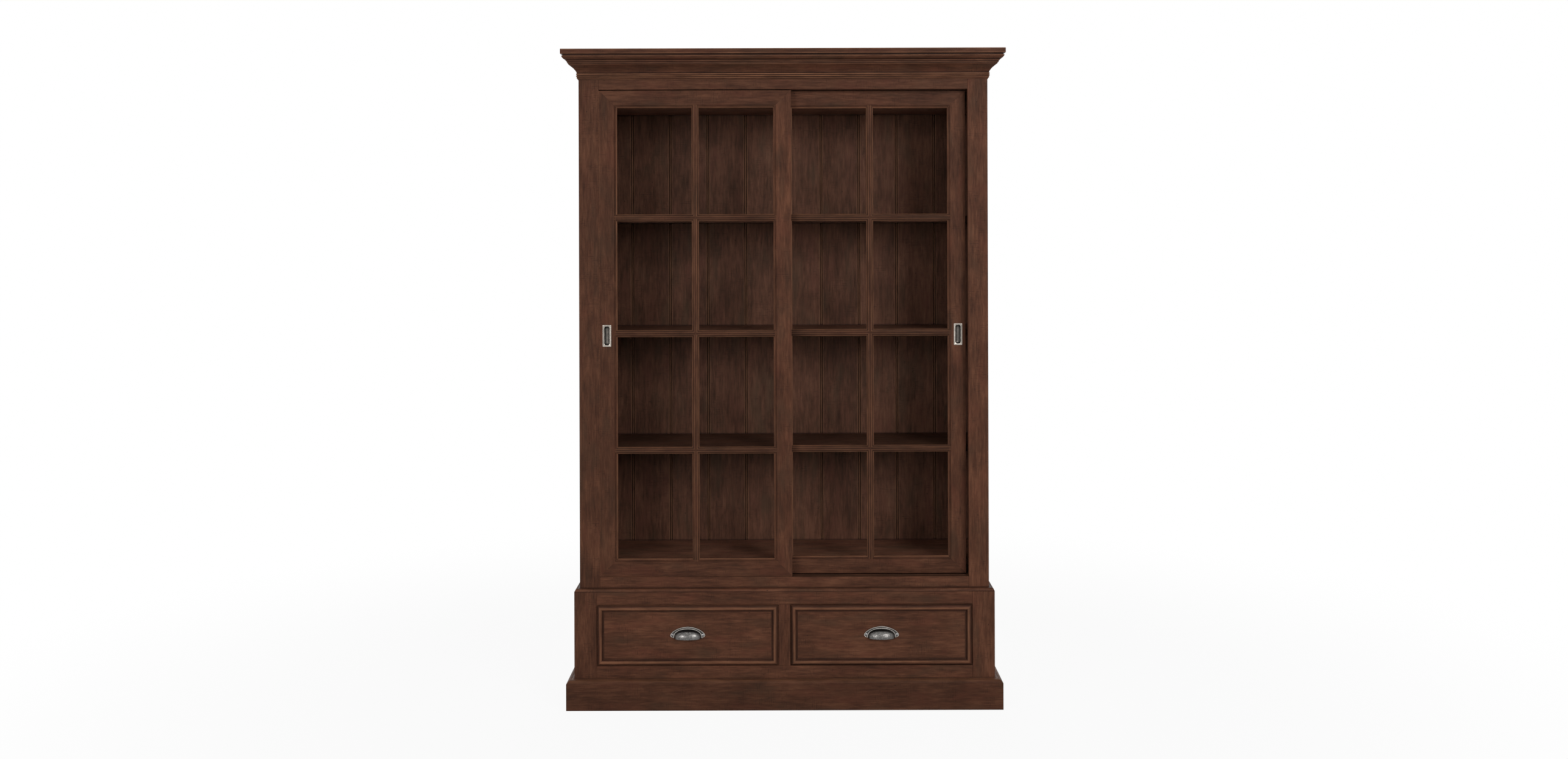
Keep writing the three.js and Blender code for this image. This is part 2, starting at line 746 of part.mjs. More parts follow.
// An L at each side of the base and a T in its middle, each with a ledge and a guide
function makeRunners() {
  const depth = [baseFrameBack, baseBackFace];
  const ledgeReach = drawerBoxSideGap + drawerWallThickness + runnerLedgeSpare;
  const guideReach = drawerBoxSideGap - runnerGuideGap;
  const ledgeHeight = [runnerTop - runnerThickness, runnerTop];
  const guideHeight = [runnerTop - runnerThickness, runnerTop + runnerGuideHeight];
  const pieces = {
    drawer_runner_left: [-baseInner, -baseOpeningHalf, 0, 1],
    drawer_runner_right: [baseOpeningHalf, baseInner, -1, 0],
    drawer_runner_centre: [-baseCentreStileWidth / 2, baseCentreStileWidth / 2, -1, 1],
  };
  for (const [name, [x0, x1, toLeft, toRight]] of Object.entries(pieces)) {
    const ledge = block([x0 + toLeft * ledgeReach, x1 + toRight * ledgeReach], depth, ledgeHeight);
    const guide = block([x0 + toLeft * guideReach, x1 + toRight * guideReach], depth, guideHeight);
    addPiece(name, joined([ledge, guide]), 'drawerWood');
  }
}

// Sides and back of a drawer in one piece, grooved for its bottom
function makeDrawerBox([left, right]) {
  const height = [drawerBoxBottom, drawerBoxTop];
  const walls = [
    block([left, left + drawerWallThickness], [drawerFrontBack, drawerBoxBack], height),
    block([right - drawerWallThickness, right], [drawerFrontBack, drawerBoxBack], height),
    block([left, right], [drawerBoxBack - drawerWallThickness, drawerBoxBack], height),
  ];
  const inset = drawerWallThickness - drawerGrooveDepth;
  const groove = block(
    [left + inset, right - inset],
    [drawerFrontBack - cutOverrun, drawerBoxBack - inset],
    [drawerBottomBottom - fitGap, drawerBottomBottom + drawerBottomThickness + fitGap],
  );
  return cut(joined(walls), [groove]);
}

function makeDrawerBottom([left, right]) {
  const inset = drawerWallThickness - drawerGrooveDepth + fitGap;
  return block(
    [left + inset, right - inset],
    [drawerFrontBack, drawerBoxBack - inset],
    [drawerBottomBottom, drawerBottomBottom + drawerBottomThickness],
  );
}

// Half-round moulding mitred round the edge of a drawer front
function makeBeadFrame([left, right], [bottom, top]) {
  const section = counterclockwise(outline(beadFrameShares, beadFrameWidth, beadFrameHeight));
  const corners = [
    [left, bottom, 1, 1], [right, bottom, -1, 1], [right, top, -1, -1], [left, top, 1, -1],
  ];
  const rings = corners.map(([x, z, inX, inZ]) => section.map((point) => {
    const across = beadFrameInset + point.x;
    return new THREE.Vector3(x + inX * across, baseFront - point.y, z + inZ * across);
  }));
  return loft(rings, section, true);
}

function cupEllipsoid(x, z, shrink) {
  const shell = new THREE.SphereGeometry(1, cupSides, cupRings);
  shell.scale(cupWidth / 2 - shrink, cupProjection - shrink, cupHeight - shrink);
  return shell.translate(x, baseFront, z);
}

// Outline of the flange: a half ellipse with round ears at its foot
function cupPullOutline(x, z) {
  const half = cupPullWidth / 2;
  const foot = half - cupPullEarRise;
  const path = new THREE.Path();
  path.moveTo(x - foot, z);
  path.lineTo(x + foot, z);
  path.quadraticCurveTo(x + half, z, x + half, z + cupPullEarRise);
  path.absellipse(x, z + cupPullEarRise, half, cupPullHeight - cupPullEarRise, 0, Math.PI);
  path.quadraticCurveTo(x - half, z, x - foot, z);
  return path.getPoints(2 * curveSteps);
}

// A hollow quarter shell, open below and behind, on a flange
function makeCupPull(x, z) {
  const above = block(
    [x - cupPullWidth, x + cupPullWidth], [baseFront - cupPullWidth, baseFront], [z, z + cupPullWidth],
  );
  const shell = kept(cupEllipsoid(x, z, 0), above);
  const flange = prism(cupPullOutline(x, z), 'y', [baseFront - cupPullFlange, baseFront]);
  return cut(joined([flange, shell]), [cupEllipsoid(x, z, cupWall)]);
}

function makeDrawer(name, side) {
  const sides = span(side, baseCentreStileWidth / 2, baseOpeningHalf);
  const frontWidth = [sides[0] + drawerFrontGap, sides[1] - drawerFrontGap];
  const frontHeight = [drawerOpeningBottom + drawerFrontGap, drawerOpeningTop - drawerFrontGap];
  const boxWidth = [sides[0] + drawerBoxSideGap, sides[1] - drawerBoxSideGap];
  const middleX = (sides[0] + sides[1]) / 2;
  const middleZ = (drawerOpeningBottom + drawerOpeningTop) / 2;
  const front = block(frontWidth, [baseFront, drawerFrontBack], frontHeight);
  addPiece(`${name}_front`, front, 'stainedWood');
  addPiece(`${name}_bead_frame`, makeBeadFrame(frontWidth, frontHeight), 'stainedWood');
  addPiece(`${name}_box`, makeDrawerBox(boxWidth), 'drawerWood');
  addPiece(`${name}_bottom`, makeDrawerBottom(boxWidth), 'drawerWood');
  addPiece(`${name}_cup_pull`, makeCupPull(middleX, middleZ - cupPullDrop), 'pewter');
}

const leftDoor = {
  name: 'left_door',
  left: leftDoorSideGap - openingHalf,
  face: frontDoorFace,
  pullSide: -1,
};
const rightDoor = {
  name: 'right_door',
  left: openingHalf - rightDoorSideGap - doorWidth,
  face: rearDoorFace,
  pullSide: 1,
};

makeCrown();
makeTopBoard();
makeCaseSides();
makeFaceFrame();
makeHousedBoards();
makeBack();
makeTopTrack();
makeBottomTrack();
makeDoor(leftDoor);
makeDoor(rightDoor);
makeBaseFrame();
makeBasePanels();
makeBaseMoulding();
makePlinth();
makeRunners();
makeDrawer('left_drawer', -1);
makeDrawer('right_drawer', 1);

bookcase.position.y = (crownReach - caseDepth) / 2;

export default bookcase;
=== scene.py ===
"""Looks of a bookcase with two sliding glazed doors over two drawers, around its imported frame.

Metres, +Z up. The front faces -Y, x = 0 is the middle and z = 0 the floor. Every place is worked
out from the boxes of the frame's nodes. Shares are parts of the size of the piece that has them.
"""
from math import acos, ceil, copysign, cos, dist, pi, radians, sin

import bmesh
import bpy
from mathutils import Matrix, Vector


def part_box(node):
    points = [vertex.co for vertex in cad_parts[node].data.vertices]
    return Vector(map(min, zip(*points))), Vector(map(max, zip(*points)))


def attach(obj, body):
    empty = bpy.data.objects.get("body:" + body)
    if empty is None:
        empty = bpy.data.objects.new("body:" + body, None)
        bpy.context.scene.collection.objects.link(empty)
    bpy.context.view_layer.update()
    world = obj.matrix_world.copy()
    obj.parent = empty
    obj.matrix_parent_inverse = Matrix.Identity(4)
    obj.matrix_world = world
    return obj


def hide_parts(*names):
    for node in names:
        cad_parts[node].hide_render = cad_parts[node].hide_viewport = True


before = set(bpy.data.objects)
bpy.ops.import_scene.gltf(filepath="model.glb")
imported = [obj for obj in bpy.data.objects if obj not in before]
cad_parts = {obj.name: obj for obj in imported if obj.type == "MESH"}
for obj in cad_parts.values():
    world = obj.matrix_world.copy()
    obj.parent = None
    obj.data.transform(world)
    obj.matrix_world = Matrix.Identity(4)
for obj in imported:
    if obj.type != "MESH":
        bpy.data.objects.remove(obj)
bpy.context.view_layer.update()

MM = 0.001
IMAGE_WIDTH, IMAGE_HEIGHT = 2576, 1247

# Places that several pieces share
front_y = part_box("frame_stile_left")[0].y
back_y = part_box("top_board")[1].y
case_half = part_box("top_board")[1].x
base_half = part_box("base_side_right")[1].x
base_front_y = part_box("base_stile_left")[0].y


# Materials


# Relief of rebuilt pieces, which the materials also turn into painted highlight and shade
RELIEF_AND_LIGHT = "relief_and_light"
NEARNESS_SAMPLES = 8


class Finish:
    """The nodes of a material or of the world, with short calls that add to them."""

    def __init__(self, name, owners="materials"):
        self.owner = getattr(bpy.data, owners).new(name)
        self.owner.use_nodes = True
        self.tree = self.owner.node_tree
        self.tree.nodes.clear()

    def feed(self, socket, value):
        """Gives an input a value, the output of a node or a node's first output."""
        if isinstance(value, bpy.types.Node):
            value = value.outputs[0]
        if isinstance(value, bpy.types.NodeSocket):
            self.tree.links.new(value, socket)
        else:
            socket.default_value = value

    def node(self, kind, inputs=None, **settings):
        made = self.tree.nodes.new("ShaderNode" + kind)
        for key, value in settings.items():
            setattr(made, key, value)
        for key, value in (inputs or {}).items():
            self.feed(made.inputs[key], value)
        return made

    def math(self, operation, a, b=0.0):
        return self.node("Math", {0: a, 1: b}, operation=operation)

    def times(self, a, b):
        return self.math("MULTIPLY", a, b)

    def weighted(self, *parts):
        """The sum of some values, each times its own weight."""
        total = None
        for value, weight in parts:
            part = self.times(value, weight)
            total = part if total is None else self.math("ADD", total, part)
        return total

    def vector(self, operation, a, b):
        return self.node("VectorMath", {0: a, 1: b}, operation=operation)

    def combine(self, x, y, z):
        return self.node("CombineXYZ", {0: x, 1: y, 2: z})

    def split(self, vector):
        return self.node("SeparateXYZ", {0: vector}).outputs

    def place(self):
        """Where the point is on its own piece."""
        return self.node("TexCoord").outputs["Object"]

    def noise(self, vector, stretch, detail, roughness=0.5):
        """Noise with its own number of features a metre along each axis."""
        scaled = self.vector("MULTIPLY", vector, stretch)
        inputs = {"Vector": scaled, "Scale": 1.0, "Detail": detail, "Roughness": roughness}
        return self.node("TexNoise", inputs).outputs["Fac"]

    def step(self, value, low, high, bottom=0.0, top=1.0):
        """Rises smoothly from bottom to top while the value goes from low to high."""
        inputs = {0: value, 1: low, 2: high, 3: bottom, 4: top}
        return self.node("MapRange", inputs, interpolation_type="SMOOTHSTEP")

    def ramp(self, value, stops):
        made = self.node("ValToRGB", {0: value})
        elements = made.color_ramp.elements
        while len(elements) < len(stops):
            elements.new(1.0)
        for element, (place, color) in zip(elements, stops):
            element.position = place
            element.color = color
        return made

    def mix(self, share, a, b):
        made = self.node("Mix", data_type="RGBA")
        for place, value in ((0, share), (6, a), (7, b)):
            self.feed(made.inputs[place], value)
        return made.outputs[2]

    def nearness(self, distance, inside):
        """How much of the way round is closed off: crevices from outside, arrises from inside."""
        made = self.node(
            "AmbientOcclusion", {"Distance": distance}, samples=NEARNESS_SAMPLES,
            inside=inside, only_local=inside,
        )
        return self.math("SUBTRACT", 1.0, made.outputs["AO"])

    def relief_and_light(self):
        """How proud (above 0) or sunk (below 0) the surface of a rebuilt piece is; on the pulls, the
        bead frames, the base moulding and the plinth it is given as painted highlight (above 0) and
        painted shade (below 0).
        """
        return self.node("Attribute", attribute_name=RELIEF_AND_LIGHT).outputs["Fac"]

    def bump(self, height, strength, distance):
        return self.node("Bump", {"Height": height, "Strength": strength, "Distance": distance})

    def background_rays(self):
        """1 for the rays that show the background: seen, mirrored or through glass."""
        rays = self.node("LightPath").outputs
        seen = self.math("MAXIMUM", rays["Is Camera Ray"], rays["Is Glossy Ray"])
        return self.math("MAXIMUM", seen, rays["Is Transmission Ray"])

    def surface(self, shader, output="OutputMaterial"):
        self.node(output, {"Surface": shader})
        return self.owner


def srgb(*levels):
    """A colour as seen on a screen, from 0 to 255, as Blender's own numbers."""
    shares = [level / 255 for level in levels]
    linear = [s / 12.92 if s <= 0.04045 else ((s + 0.055) / 1.055) ** 2.4 for s in shares]
    return (*linear, 1.0)


# The worn part also gives arrises and crests a painted highlight, and the grime part is grime and
# painted shade in crevices.
TONE_PARTS = ("dark", "middle", "light", "stain", "worn_lit", "grime_shade", "dull", "ruddy")
WOOD_TONES = {
    # red, green and blue of each part, as seen on a screen
    "stained": (
        (58, 35, 25), (79, 49, 35), (96, 62, 45), (38, 23, 17),
        (136, 94, 69), (26, 14, 10), (64, 46, 34), (90, 51, 38),
    ),
    "inside": (
        (58, 37, 29), (81, 52, 41), (96, 63, 50), (39, 25, 21),
        (112, 78, 60), (17, 10, 9), (67, 50, 39), (88, 53, 44),
    ),
    "drawer": (
        (128, 96, 66), (158, 124, 88), (180, 147, 108), (110, 80, 54),
        (190, 160, 122), (70, 50, 34), (144, 116, 84), (166, 122, 88),
    ),
}
BOARD_JUMP = 3.7
CHATTER_PITCH = 4.6 * MM
ARRIS_REACH = 2 * MM
CREVICE_REACH = 8 * MM
LIP_BLEND = 0.4 * MM
GRAIN_RELIEF = 0.5 * MM
WOOD_GLOSS = 0.08
# How dark crevices are drawn: grime and painted shade
FULL_GRIME_AND_SHADE = 0.85
finishes = {}


def wood(
    tone, grain, seed, shade=1.0, is_moulded=False, board_pitch=None, grime_and_shade=FULL_GRIME_AND_SHADE, lip_y=None,
):
    """Wood with its grain along one axis or round a box, made once for each tone, grain and seed.

    How dark the crevices are, from grime and painted shade, is set by its own argument, and shade scales
    every colour, on some pieces as painted light. From lip_y back, faces that look forward get a painted
    highlight, strongest where they face right.
    """
    name = f"{tone}_wood_{grain.lower()}_{seed}"
    if name in finishes:
        return finishes[name]
    colors = {}
    for part, color in zip(TONE_PARTS, WOOD_TONES[tone]):
        colors[part] = (*(shade * value for value in srgb(*color)[:3]), 1.0)
    f = Finish(name)
    x, y, z = f.split(f.place())
    geometry = f.node("NewGeometry").outputs
    side, forward, up = f.split(geometry["Normal"])
    if grain == "XY":
        # The walls of a box: those that face sideways have their grain along Y
        turned = f.step(f.math("ABSOLUTE", side), 0.4, 0.6)
        shift = f.times(turned, f.math("SUBTRACT", y, x))
        along, across, depth = f.math("ADD", x, shift), z, f.math("SUBTRACT", y, shift)
    else:
        along, across, depth = {"X": (x, z, y), "Y": (y, z, x), "Z": (z, x, y)}[grain]
    # Each board is cut from another place of the same endless wood
    board = f.math("FLOOR", f.math("DIVIDE", x, board_pitch)) if board_pitch else float(seed)
    start = f.times(board, BOARD_JUMP)
    place = f.combine(f.math("ADD", along, start), f.math("ADD", across, start), depth)
    luck = f.node("TexWhiteNoise", {"W": board}, noise_dimensions="1D").outputs["Value"]

    def marks(along_grain, across_grain, *settings):
        """Noise with its number of features a metre along and across the grain."""
        return f.noise(place, (along_grain, across_grain, across_grain), *settings)

    # Broad clouds of tone, streaks along the grain and fine fibres
    cloud = marks(7.0, 17.0, 3.0, 0.6)
    streak = marks(13.0, 130.0, 3.0, 0.6)
    fibre = marks(30.0, 360.0, 3.0, 0.65)
    pore = marks(70.0, 1000.0, 2.0, 0.5)
    level = f.weighted((cloud, 0.18), (streak, 0.38), (fibre, 0.3), (pore, 0.08), (luck, 0.06))
    color = f.ramp(level, [(0.37, colors["dark"]), (0.5, colors["middle"]), (0.62, colors["light"])])
    blotch = f.step(cloud, 0.3, 0.7, 0.86, 1.14)
    color = f.vector("MULTIPLY", color, f.combine(blotch, blotch, blotch))
    drift = marks(7.0, 21.0, 2.0)
    color = f.mix(f.step(drift, 0.5, 0.75, 0.0, 0.5), color, colors["dull"])
    color = f.mix(f.step(drift, 0.48, 0.25, 0.0, 0.4), color, colors["ruddy"])

    # Chatter marks across the grain, in short columns
    jitter = marks(34.0, 6.0, 1.0)
    turns = f.weighted((along, 1 / CHATTER_PITCH), (jitter, 4.0))
    wave = f.math("SINE", f.times(turns, 2 * pi))
    tick = f.step(wave, -0.5, 1.0)
    patch = f.step(marks(19.0, 15.0, 3.0, 0.7), 0.48, 0.64)
    torn = f.step(marks(150.0, 62.0, 3.0, 0.7), 0.38, 0.6)
    chatter = f.times(f.times(tick, patch), torn)

    # Stains that the finish soaked into, open pores and small specks
    soaked = f.step(marks(14.0, 60.0, 4.0, 0.65), 0.62, 0.8)
    open_pore = f.step(pore, 0.6, 0.74)
    cells = f.node("TexVoronoi", {
        "Vector": f.vector("MULTIPLY", place, (26.0, 48.0, 48.0)), "Scale": 1.0,
    })
    rare = f.step(f.split(cells.outputs["Color"])[0], 0.8, 0.84)
    speck = f.times(f.step(cells.outputs["Distance"], 0.1, 0.03), rare)
    for share, weight in ((chatter, 0.5), (soaked, 0.45), (open_pore, 0.35), (speck, 0.85)):
        color = f.mix(f.times(share, weight), color, colors["stain"])

    # Arrises and crests lighter from wear and painted highlight, crevices darker from grime and painted
    # shade
    relief_and_light = f.relief_and_light()
    wear_and_highlight = f.step(relief_and_light, 0.0, 0.15)
    if not is_moulded:
        wear_and_highlight = f.step(f.nearness(ARRIS_REACH, True), 0.3, 0.8)
    # Painted light: arrises on faces that look up are lighter than on faces that look down
    wear_and_highlight = f.times(wear_and_highlight, f.step(up, -0.6, 0.1, 0.15, 1.0))
    # Painted highlight on the lip of the sticking, strongest on faces turned to the right
    if lip_y is not None:
        _, world_y, _ = f.split(geometry["Position"])
        is_back = f.step(world_y, lip_y, lip_y + LIP_BLEND)
        lip_highlight = f.times(is_back, f.step(forward, -0.2, -0.7))
        lip_highlight = f.times(lip_highlight, f.step(side, -0.5, 0.4, 0.15, 1.0))
        wear_and_highlight = f.math("MAXIMUM", wear_and_highlight, lip_highlight)
    rubbed_and_lit = f.times(wear_and_highlight, f.step(streak, 0.3, 0.7, 0.3, 0.8))
    color = f.mix(rubbed_and_lit, color, colors["worn_lit"])
    # Grime and painted shade in crevices, where pieces meet and in the sunk parts of mouldings
    grime_and_shade_mask = f.step(f.nearness(CREVICE_REACH, False), 0.12, 0.6)
    if is_moulded:
        grime_and_shade_mask = f.math("MAXIMUM", grime_and_shade_mask, f.step(relief_and_light, -0.02, -0.16))
    color = f.mix(f.times(grime_and_shade_mask, grime_and_shade), color, colors["grime_shade"])

    height = f.weighted((fibre, 0.6), (pore, 0.25), (chatter, -0.4), (speck, -1.2))
    shader = f.node("BsdfPrincipled", {
        "Base Color": color,
        "Roughness": f.step(fibre, 0.3, 0.7, 0.6, 0.44),
        "Specular IOR Level": WOOD_GLOSS,
        "Normal": f.bump(height, 0.35, GRAIN_RELIEF),
    })
    finishes[name] = f.surface(shader)
    return finishes[name]


PEWTER_CREVICE_REACH = 6 * MM
PEWTER_RELIEF = 0.4 * MM
NICKEL_RELIEF = 0.1 * MM
STEEL_RELIEF = 0.2 * MM


def metal(f, color, roughness, bump):
    shader = f.node("BsdfPrincipled", {
        "Base Color": color, "Metallic": 1.0, "Roughness": roughness, "Normal": bump,
    })
    return f.surface(shader)


def pewter():
    """Aged pewter: mottled grey, lighter where it is proud from wear and painted highlight, and black
    where it is sunk from patina and painted shade, deepest on the dome's top.
    """
    f = Finish("aged_pewter")
    place = f.place()
    cloud = f.noise(place, (240.0, 240.0, 240.0), 4.0, 0.65)
    grain = f.noise(place, (900.0, 900.0, 900.0), 2.0, 0.6)
    level = f.weighted((cloud, 0.72), (grain, 0.28))
    color = f.ramp(level, [
        (0.38, srgb(70, 68, 66)), (0.5, srgb(97, 95, 93)), (0.62, srgb(122, 119, 116)),
    ])
    relief_and_light = f.relief_and_light()
    # Wear and painted highlight on proud parts
    rubbed_and_lit = f.times(f.step(relief_and_light, 0.03, 0.22), f.step(cloud, 0.3, 0.62, 0.55, 1.0))
    color = f.mix(rubbed_and_lit, color, srgb(174, 167, 160))
    # Patina in hollows, with painted shade on the dome's top and where the cup meets the flange
    closed_off = f.step(f.nearness(PEWTER_CREVICE_REACH, False), 0.25, 0.7)
    grime_and_shade_mask = f.math("MAXIMUM", f.step(relief_and_light, -0.02, -0.2), closed_off)
    color = f.mix(grime_and_shade_mask, color, srgb(9, 9, 9))
    return metal(f, color, f.step(level, 0.4, 0.6, 0.4, 0.29), f.bump(level, 0.1, PEWTER_RELIEF))


def nickel():
    """Brushed nickel of the flush pulls, with a painted highlight on the rim and painted shade, near
    black, down into the trough.
    """
    f = Finish("brushed_nickel")
    place = f.place()
    brushed = f.noise(place, (900.0, 900.0, 24.0), 3.0, 0.6)
    cloud = f.noise(place, (190.0, 190.0, 120.0), 3.0, 0.6)
    level = f.weighted((cloud, 0.6), (brushed, 0.4))
    color = f.ramp(level, [(0.4, srgb(104, 100, 95)), (0.6, srgb(146, 139, 131))])
    relief_and_light = f.relief_and_light()
    # Painted highlight on the rim
    color = f.mix(f.step(relief_and_light, 0.1, 0.9), color, srgb(168, 160, 151))
    # Painted shade: near black on the trough's walls, dark grey over its floor
    color = f.mix(f.step(relief_and_light, -0.1, -0.9), color, srgb(5, 5, 5))
    bump = f.bump(brushed, 0.1, NICKEL_RELIEF)
    return metal(f, color, f.step(brushed, 0.3, 0.7, 0.26, 0.42), bump)


def steel():
    """Turned steel of the rollers and screws, with its tool marks."""
    f = Finish("turned_steel")
    place = f.place()
    marks = f.noise(place, (700.0, 3000.0, 700.0), 3.0, 0.6)
    spots = f.noise(place, (240.0, 240.0, 240.0), 4.0, 0.6)
    color = f.ramp(spots, [(0.35, srgb(120, 118, 116)), (0.6, srgb(186, 186, 188))])
    return metal(f, color, f.step(marks, 0.3, 0.7, 0.25, 0.45), f.bump(marks, 0.15, STEEL_RELIEF))


GLASS_IOR = 1.45
HEAD_ON_FRESNEL = 0.04
GLASS_TINT = (0.96, 0.975, 0.965, 1.0)
GLASS_GLOSS_TINT = (0.2, 0.2, 0.2, 1.0)
GLASS_GLOSS_SHARE = 0.6


def glass():
    """Clear float glass with faint dust, which reflects only when seen at a slant."""
    f = Finish("float_glass")
    dust = f.noise(f.place(), (30.0, 30.0, 12.0), 4.0, 0.6)
    clear = f.node("BsdfTransparent", {"Color": GLASS_TINT})
    gloss = f.node("BsdfGlossy", {
        "Color": GLASS_GLOSS_TINT, "Roughness": f.step(dust, 0.4, 0.7, 0.0, 0.02),
    })
    fresnel = f.node("Fresnel", {"IOR": GLASS_IOR})
    slant = f.math("MAXIMUM", f.math("SUBTRACT", fresnel, HEAD_ON_FRESNEL), 0.0)
    share = f.times(slant, GLASS_GLOSS_SHARE)
    is_outer_face = f.math("SUBTRACT", 1.0, f.node("NewGeometry").outputs["Backfacing"])
    share = f.times(share, is_outer_face)
    shader = f.node("MixShader", {0: share, 1: clear, 2: gloss})
    return f.surface(shader)


# Mesh helpers


SHARP_ANGLE = radians(32)
FLAT_ANGLE = radians(1)
ARRIS_ANGLE = radians(35)
CORNER_ANGLE = radians(28)
CORNER_LIMIT_SHARE = 0.45
CURVE_STEPS = 12
MERGE_DISTANCE = 0.01 * MM
WELD_DISTANCE = 0.001 * MM


def soft_shading():
    """Node group that merges split corners and shades smooth across all but sharp edges."""
    group = bpy.data.node_groups.new("soft_shading", "GeometryNodeTree")
    for way in ("INPUT", "OUTPUT"):
        group.interface.new_socket("Geometry", in_out=way, socket_type="NodeSocketGeometry")
    add = group.nodes.new
    bare = add("GeometryNodeSetMeshNormal")
    bare.inputs["Remove Custom"].default_value = True
    merged = add("GeometryNodeMergeByDistance")
    merged.inputs["Distance"].default_value = MERGE_DISTANCE
    angle = add("GeometryNodeInputMeshEdgeAngle")
    is_soft = add("FunctionNodeCompare")
    is_soft.operation = "LESS_THAN"
    is_soft.inputs["B"].default_value = SHARP_ANGLE
    faces = add("GeometryNodeSetShadeSmooth")
    edges = add("GeometryNodeSetShadeSmooth")
    edges.domain = "EDGE"
    start = add("NodeGroupInput")
    end = add("NodeGroupOutput")
    for source, target in (
        (start.outputs[0], bare.inputs[0]), (bare.outputs[0], merged.inputs[0]),
        (merged.outputs[0], faces.inputs[0]), (faces.outputs[0], edges.inputs[0]),
        (edges.outputs[0], end.inputs[0]), (angle.outputs[0], is_soft.inputs[0]),
        (is_soft.outputs[0], edges.inputs["Shade Smooth"]),
    ):
        group.links.new(source, target)
    return group


shading = soft_shading()


def modify(piece, name, kind, **settings):
    modifier = piece.modifiers.new(name, kind)
    for key, value in settings.items():
        setattr(modifier, key, value)


def dress(node, material, arris=0.0):
    """Gives a CAD node its material and round arrises, between which its flat faces stay flat."""
    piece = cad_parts[node]
    for slot in piece.material_slots:
        slot.link = "OBJECT"
        slot.material = material
    modify(piece, "shading", "NODES", node_group=shading)
    if arris:
        modify(piece, "flat_faces", "DECIMATE", decimate_type="DISSOLVE", angle_limit=FLAT_ANGLE)
        modify(
            piece, "arris", "BEVEL", width=arris, segments=2, limit_method="ANGLE",
            angle_limit=ARRIS_ANGLE, harden_normals=True,
        )


def add_object(name, data):
    made = bpy.data.objects.new(name, data)
    bpy.context.scene.collection.objects.link(made)
    return made


def mesh_piece(
    name, points, faces, materials, body, slot, indices=None, relief_and_light=None, replaced=None,
):
    """A new piece that rides on a body and may replace a node of the frame.

    Each face has a material's index, and each point its relief, which the materials turn into wear and
    painted highlight, grime and painted shade.
    """
    mesh = bpy.data.meshes.new(name)
    mesh.from_pydata([Vector(p) for p in points], [], faces)
    if relief_and_light:
        mesh.attributes.new(RELIEF_AND_LIGHT, "FLOAT", "POINT").data.foreach_set("value", relief_and_light)
    for material in materials:
        mesh.materials.append(material)
    if indices:
        mesh.polygons.foreach_set("material_index", indices)
    mesh.update()
    piece = add_object(name, mesh)
    modify(piece, "shading", "NODES", node_group=shading)
    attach(piece, body)
    if replaced:
        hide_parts(replaced)
    return piece


def bend(start, pull, end, share):
    """The point at a share of the way from start to end, on a curve drawn towards pull."""
    rest = 1 - share
    return tuple(
        rest ** 2 * a + 2 * share * rest * b + share ** 2 * c for a, b, c in zip(start, pull, end)
    )


def curve_points(shares, width, height):
    """Points of an outline: two shares are a corner, four are a curve's pull point and its end."""
    points = []
    for share in shares:
        *pull, end = [(across * width, up * height) for across, up in zip(share[::2], share[1::2])]
        if pull:
            start = points[-1]
            points += [bend(start, *pull, end, i / CURVE_STEPS) for i in range(1, CURVE_STEPS + 1)]
        else:
            points.append(end)
    return points


def rounded(points, radius, steps=3, is_closed=True):
    """The outline with each of its sharp corners replaced by a small curve."""
    count = len(points)
    result = []
    for i, here in enumerate(points):
        is_end = not is_closed and i in (0, count - 1)
        a, p, b = Vector(points[i - 1]), Vector(here), Vector(points[(i + 1) % count])
        if is_end or (p - a).angle(b - p, 0) <= CORNER_ANGLE:
            result.append(tuple(here))
            continue
        start, end = (
            p + (side - p).normalized() * min(radius, (p - side).length * CORNER_LIMIT_SHARE)
            for side in (a, b)
        )
        result += [bend(start, p, end, k / steps) for k in range(steps + 1)]
    return result


def refined(points, step):
    """The closed outline with extra points on its long straight stretches."""
    result = []
    for here, there in zip(points, (*points[1:], points[0])):
        count = max(1, ceil(dist(here, there) / step))
        for i in range(count):
            result.append(tuple(a + (b - a) * i / count for a, b in zip(here, there)))
    return result


def outline_relief(points, reach):
    """How proud each point of a closed outline is of the outline on both sides of it."""
    count = len(points)
    area = sum(a[0] * b[1] - b[0] * a[1] for a, b in zip(points, (*points[1:], points[0])))
    turn = 1 if area > 0 else -1

    def walk(index, way):
        place, left, samples = Vector(points[index]), reach, []
        while left > 0:
            index = (index + way) % count
            there = Vector(points[index])
            length = (there - place).length
            if length > 0:
                stretch = min(length, left)
                samples.append(((place + (there - place) * (stretch / length / 2)), stretch))
                left -= length
            place = there
        return sum((p * w for p, w in samples), Vector((0, 0))) / sum(w for _, w in samples)

    result = []
    for i, here in enumerate(points):
        before, after = walk(i, -1), walk(i, 1)
        along = (after - before).normalized()
        outward = Vector((along.y, -along.x)) * turn
        result.append((Vector(here) - (before + after) / 2).dot(outward) / reach)
    return result


def flat(rings):
    return [point for ring in rings for point in ring]


def loft(rings, is_closed_path, has_caps=True):
    """Faces between equal rings of points, and the span that each face belongs to."""
    count = len(rings[0])
    spans = len(rings) if is_closed_path else len(rings) - 1
    faces, owners = [], []
    for r in range(spans):
        here, there = r * count, ((r + 1) % len(rings)) * count
        for i in range(count):
            j = (i + 1) % count
            faces.append((here + i, here + j, there + j, there + i))
            owners.append(r)
    if has_caps and not is_closed_path:
        last = (len(rings) - 1) * count
        faces.append(tuple(reversed(range(count))))
        owners.append(0)
        faces.append(tuple(range(last, last + count)))
        owners.append(spans - 1)
    return faces, owners


def facing_out(points, faces):
    """The faces, turned over if they enclose a negative volume."""
    volume = 0.0
    for face in faces:
        a = Vector(points[face[0]])
        for b, c in zip(face[1:-1], face[2:]):
            volume += a.dot(Vector(points[b]).cross(Vector(points[c])))
    return faces if volume > 0 else [tuple(reversed(face)) for face in faces]


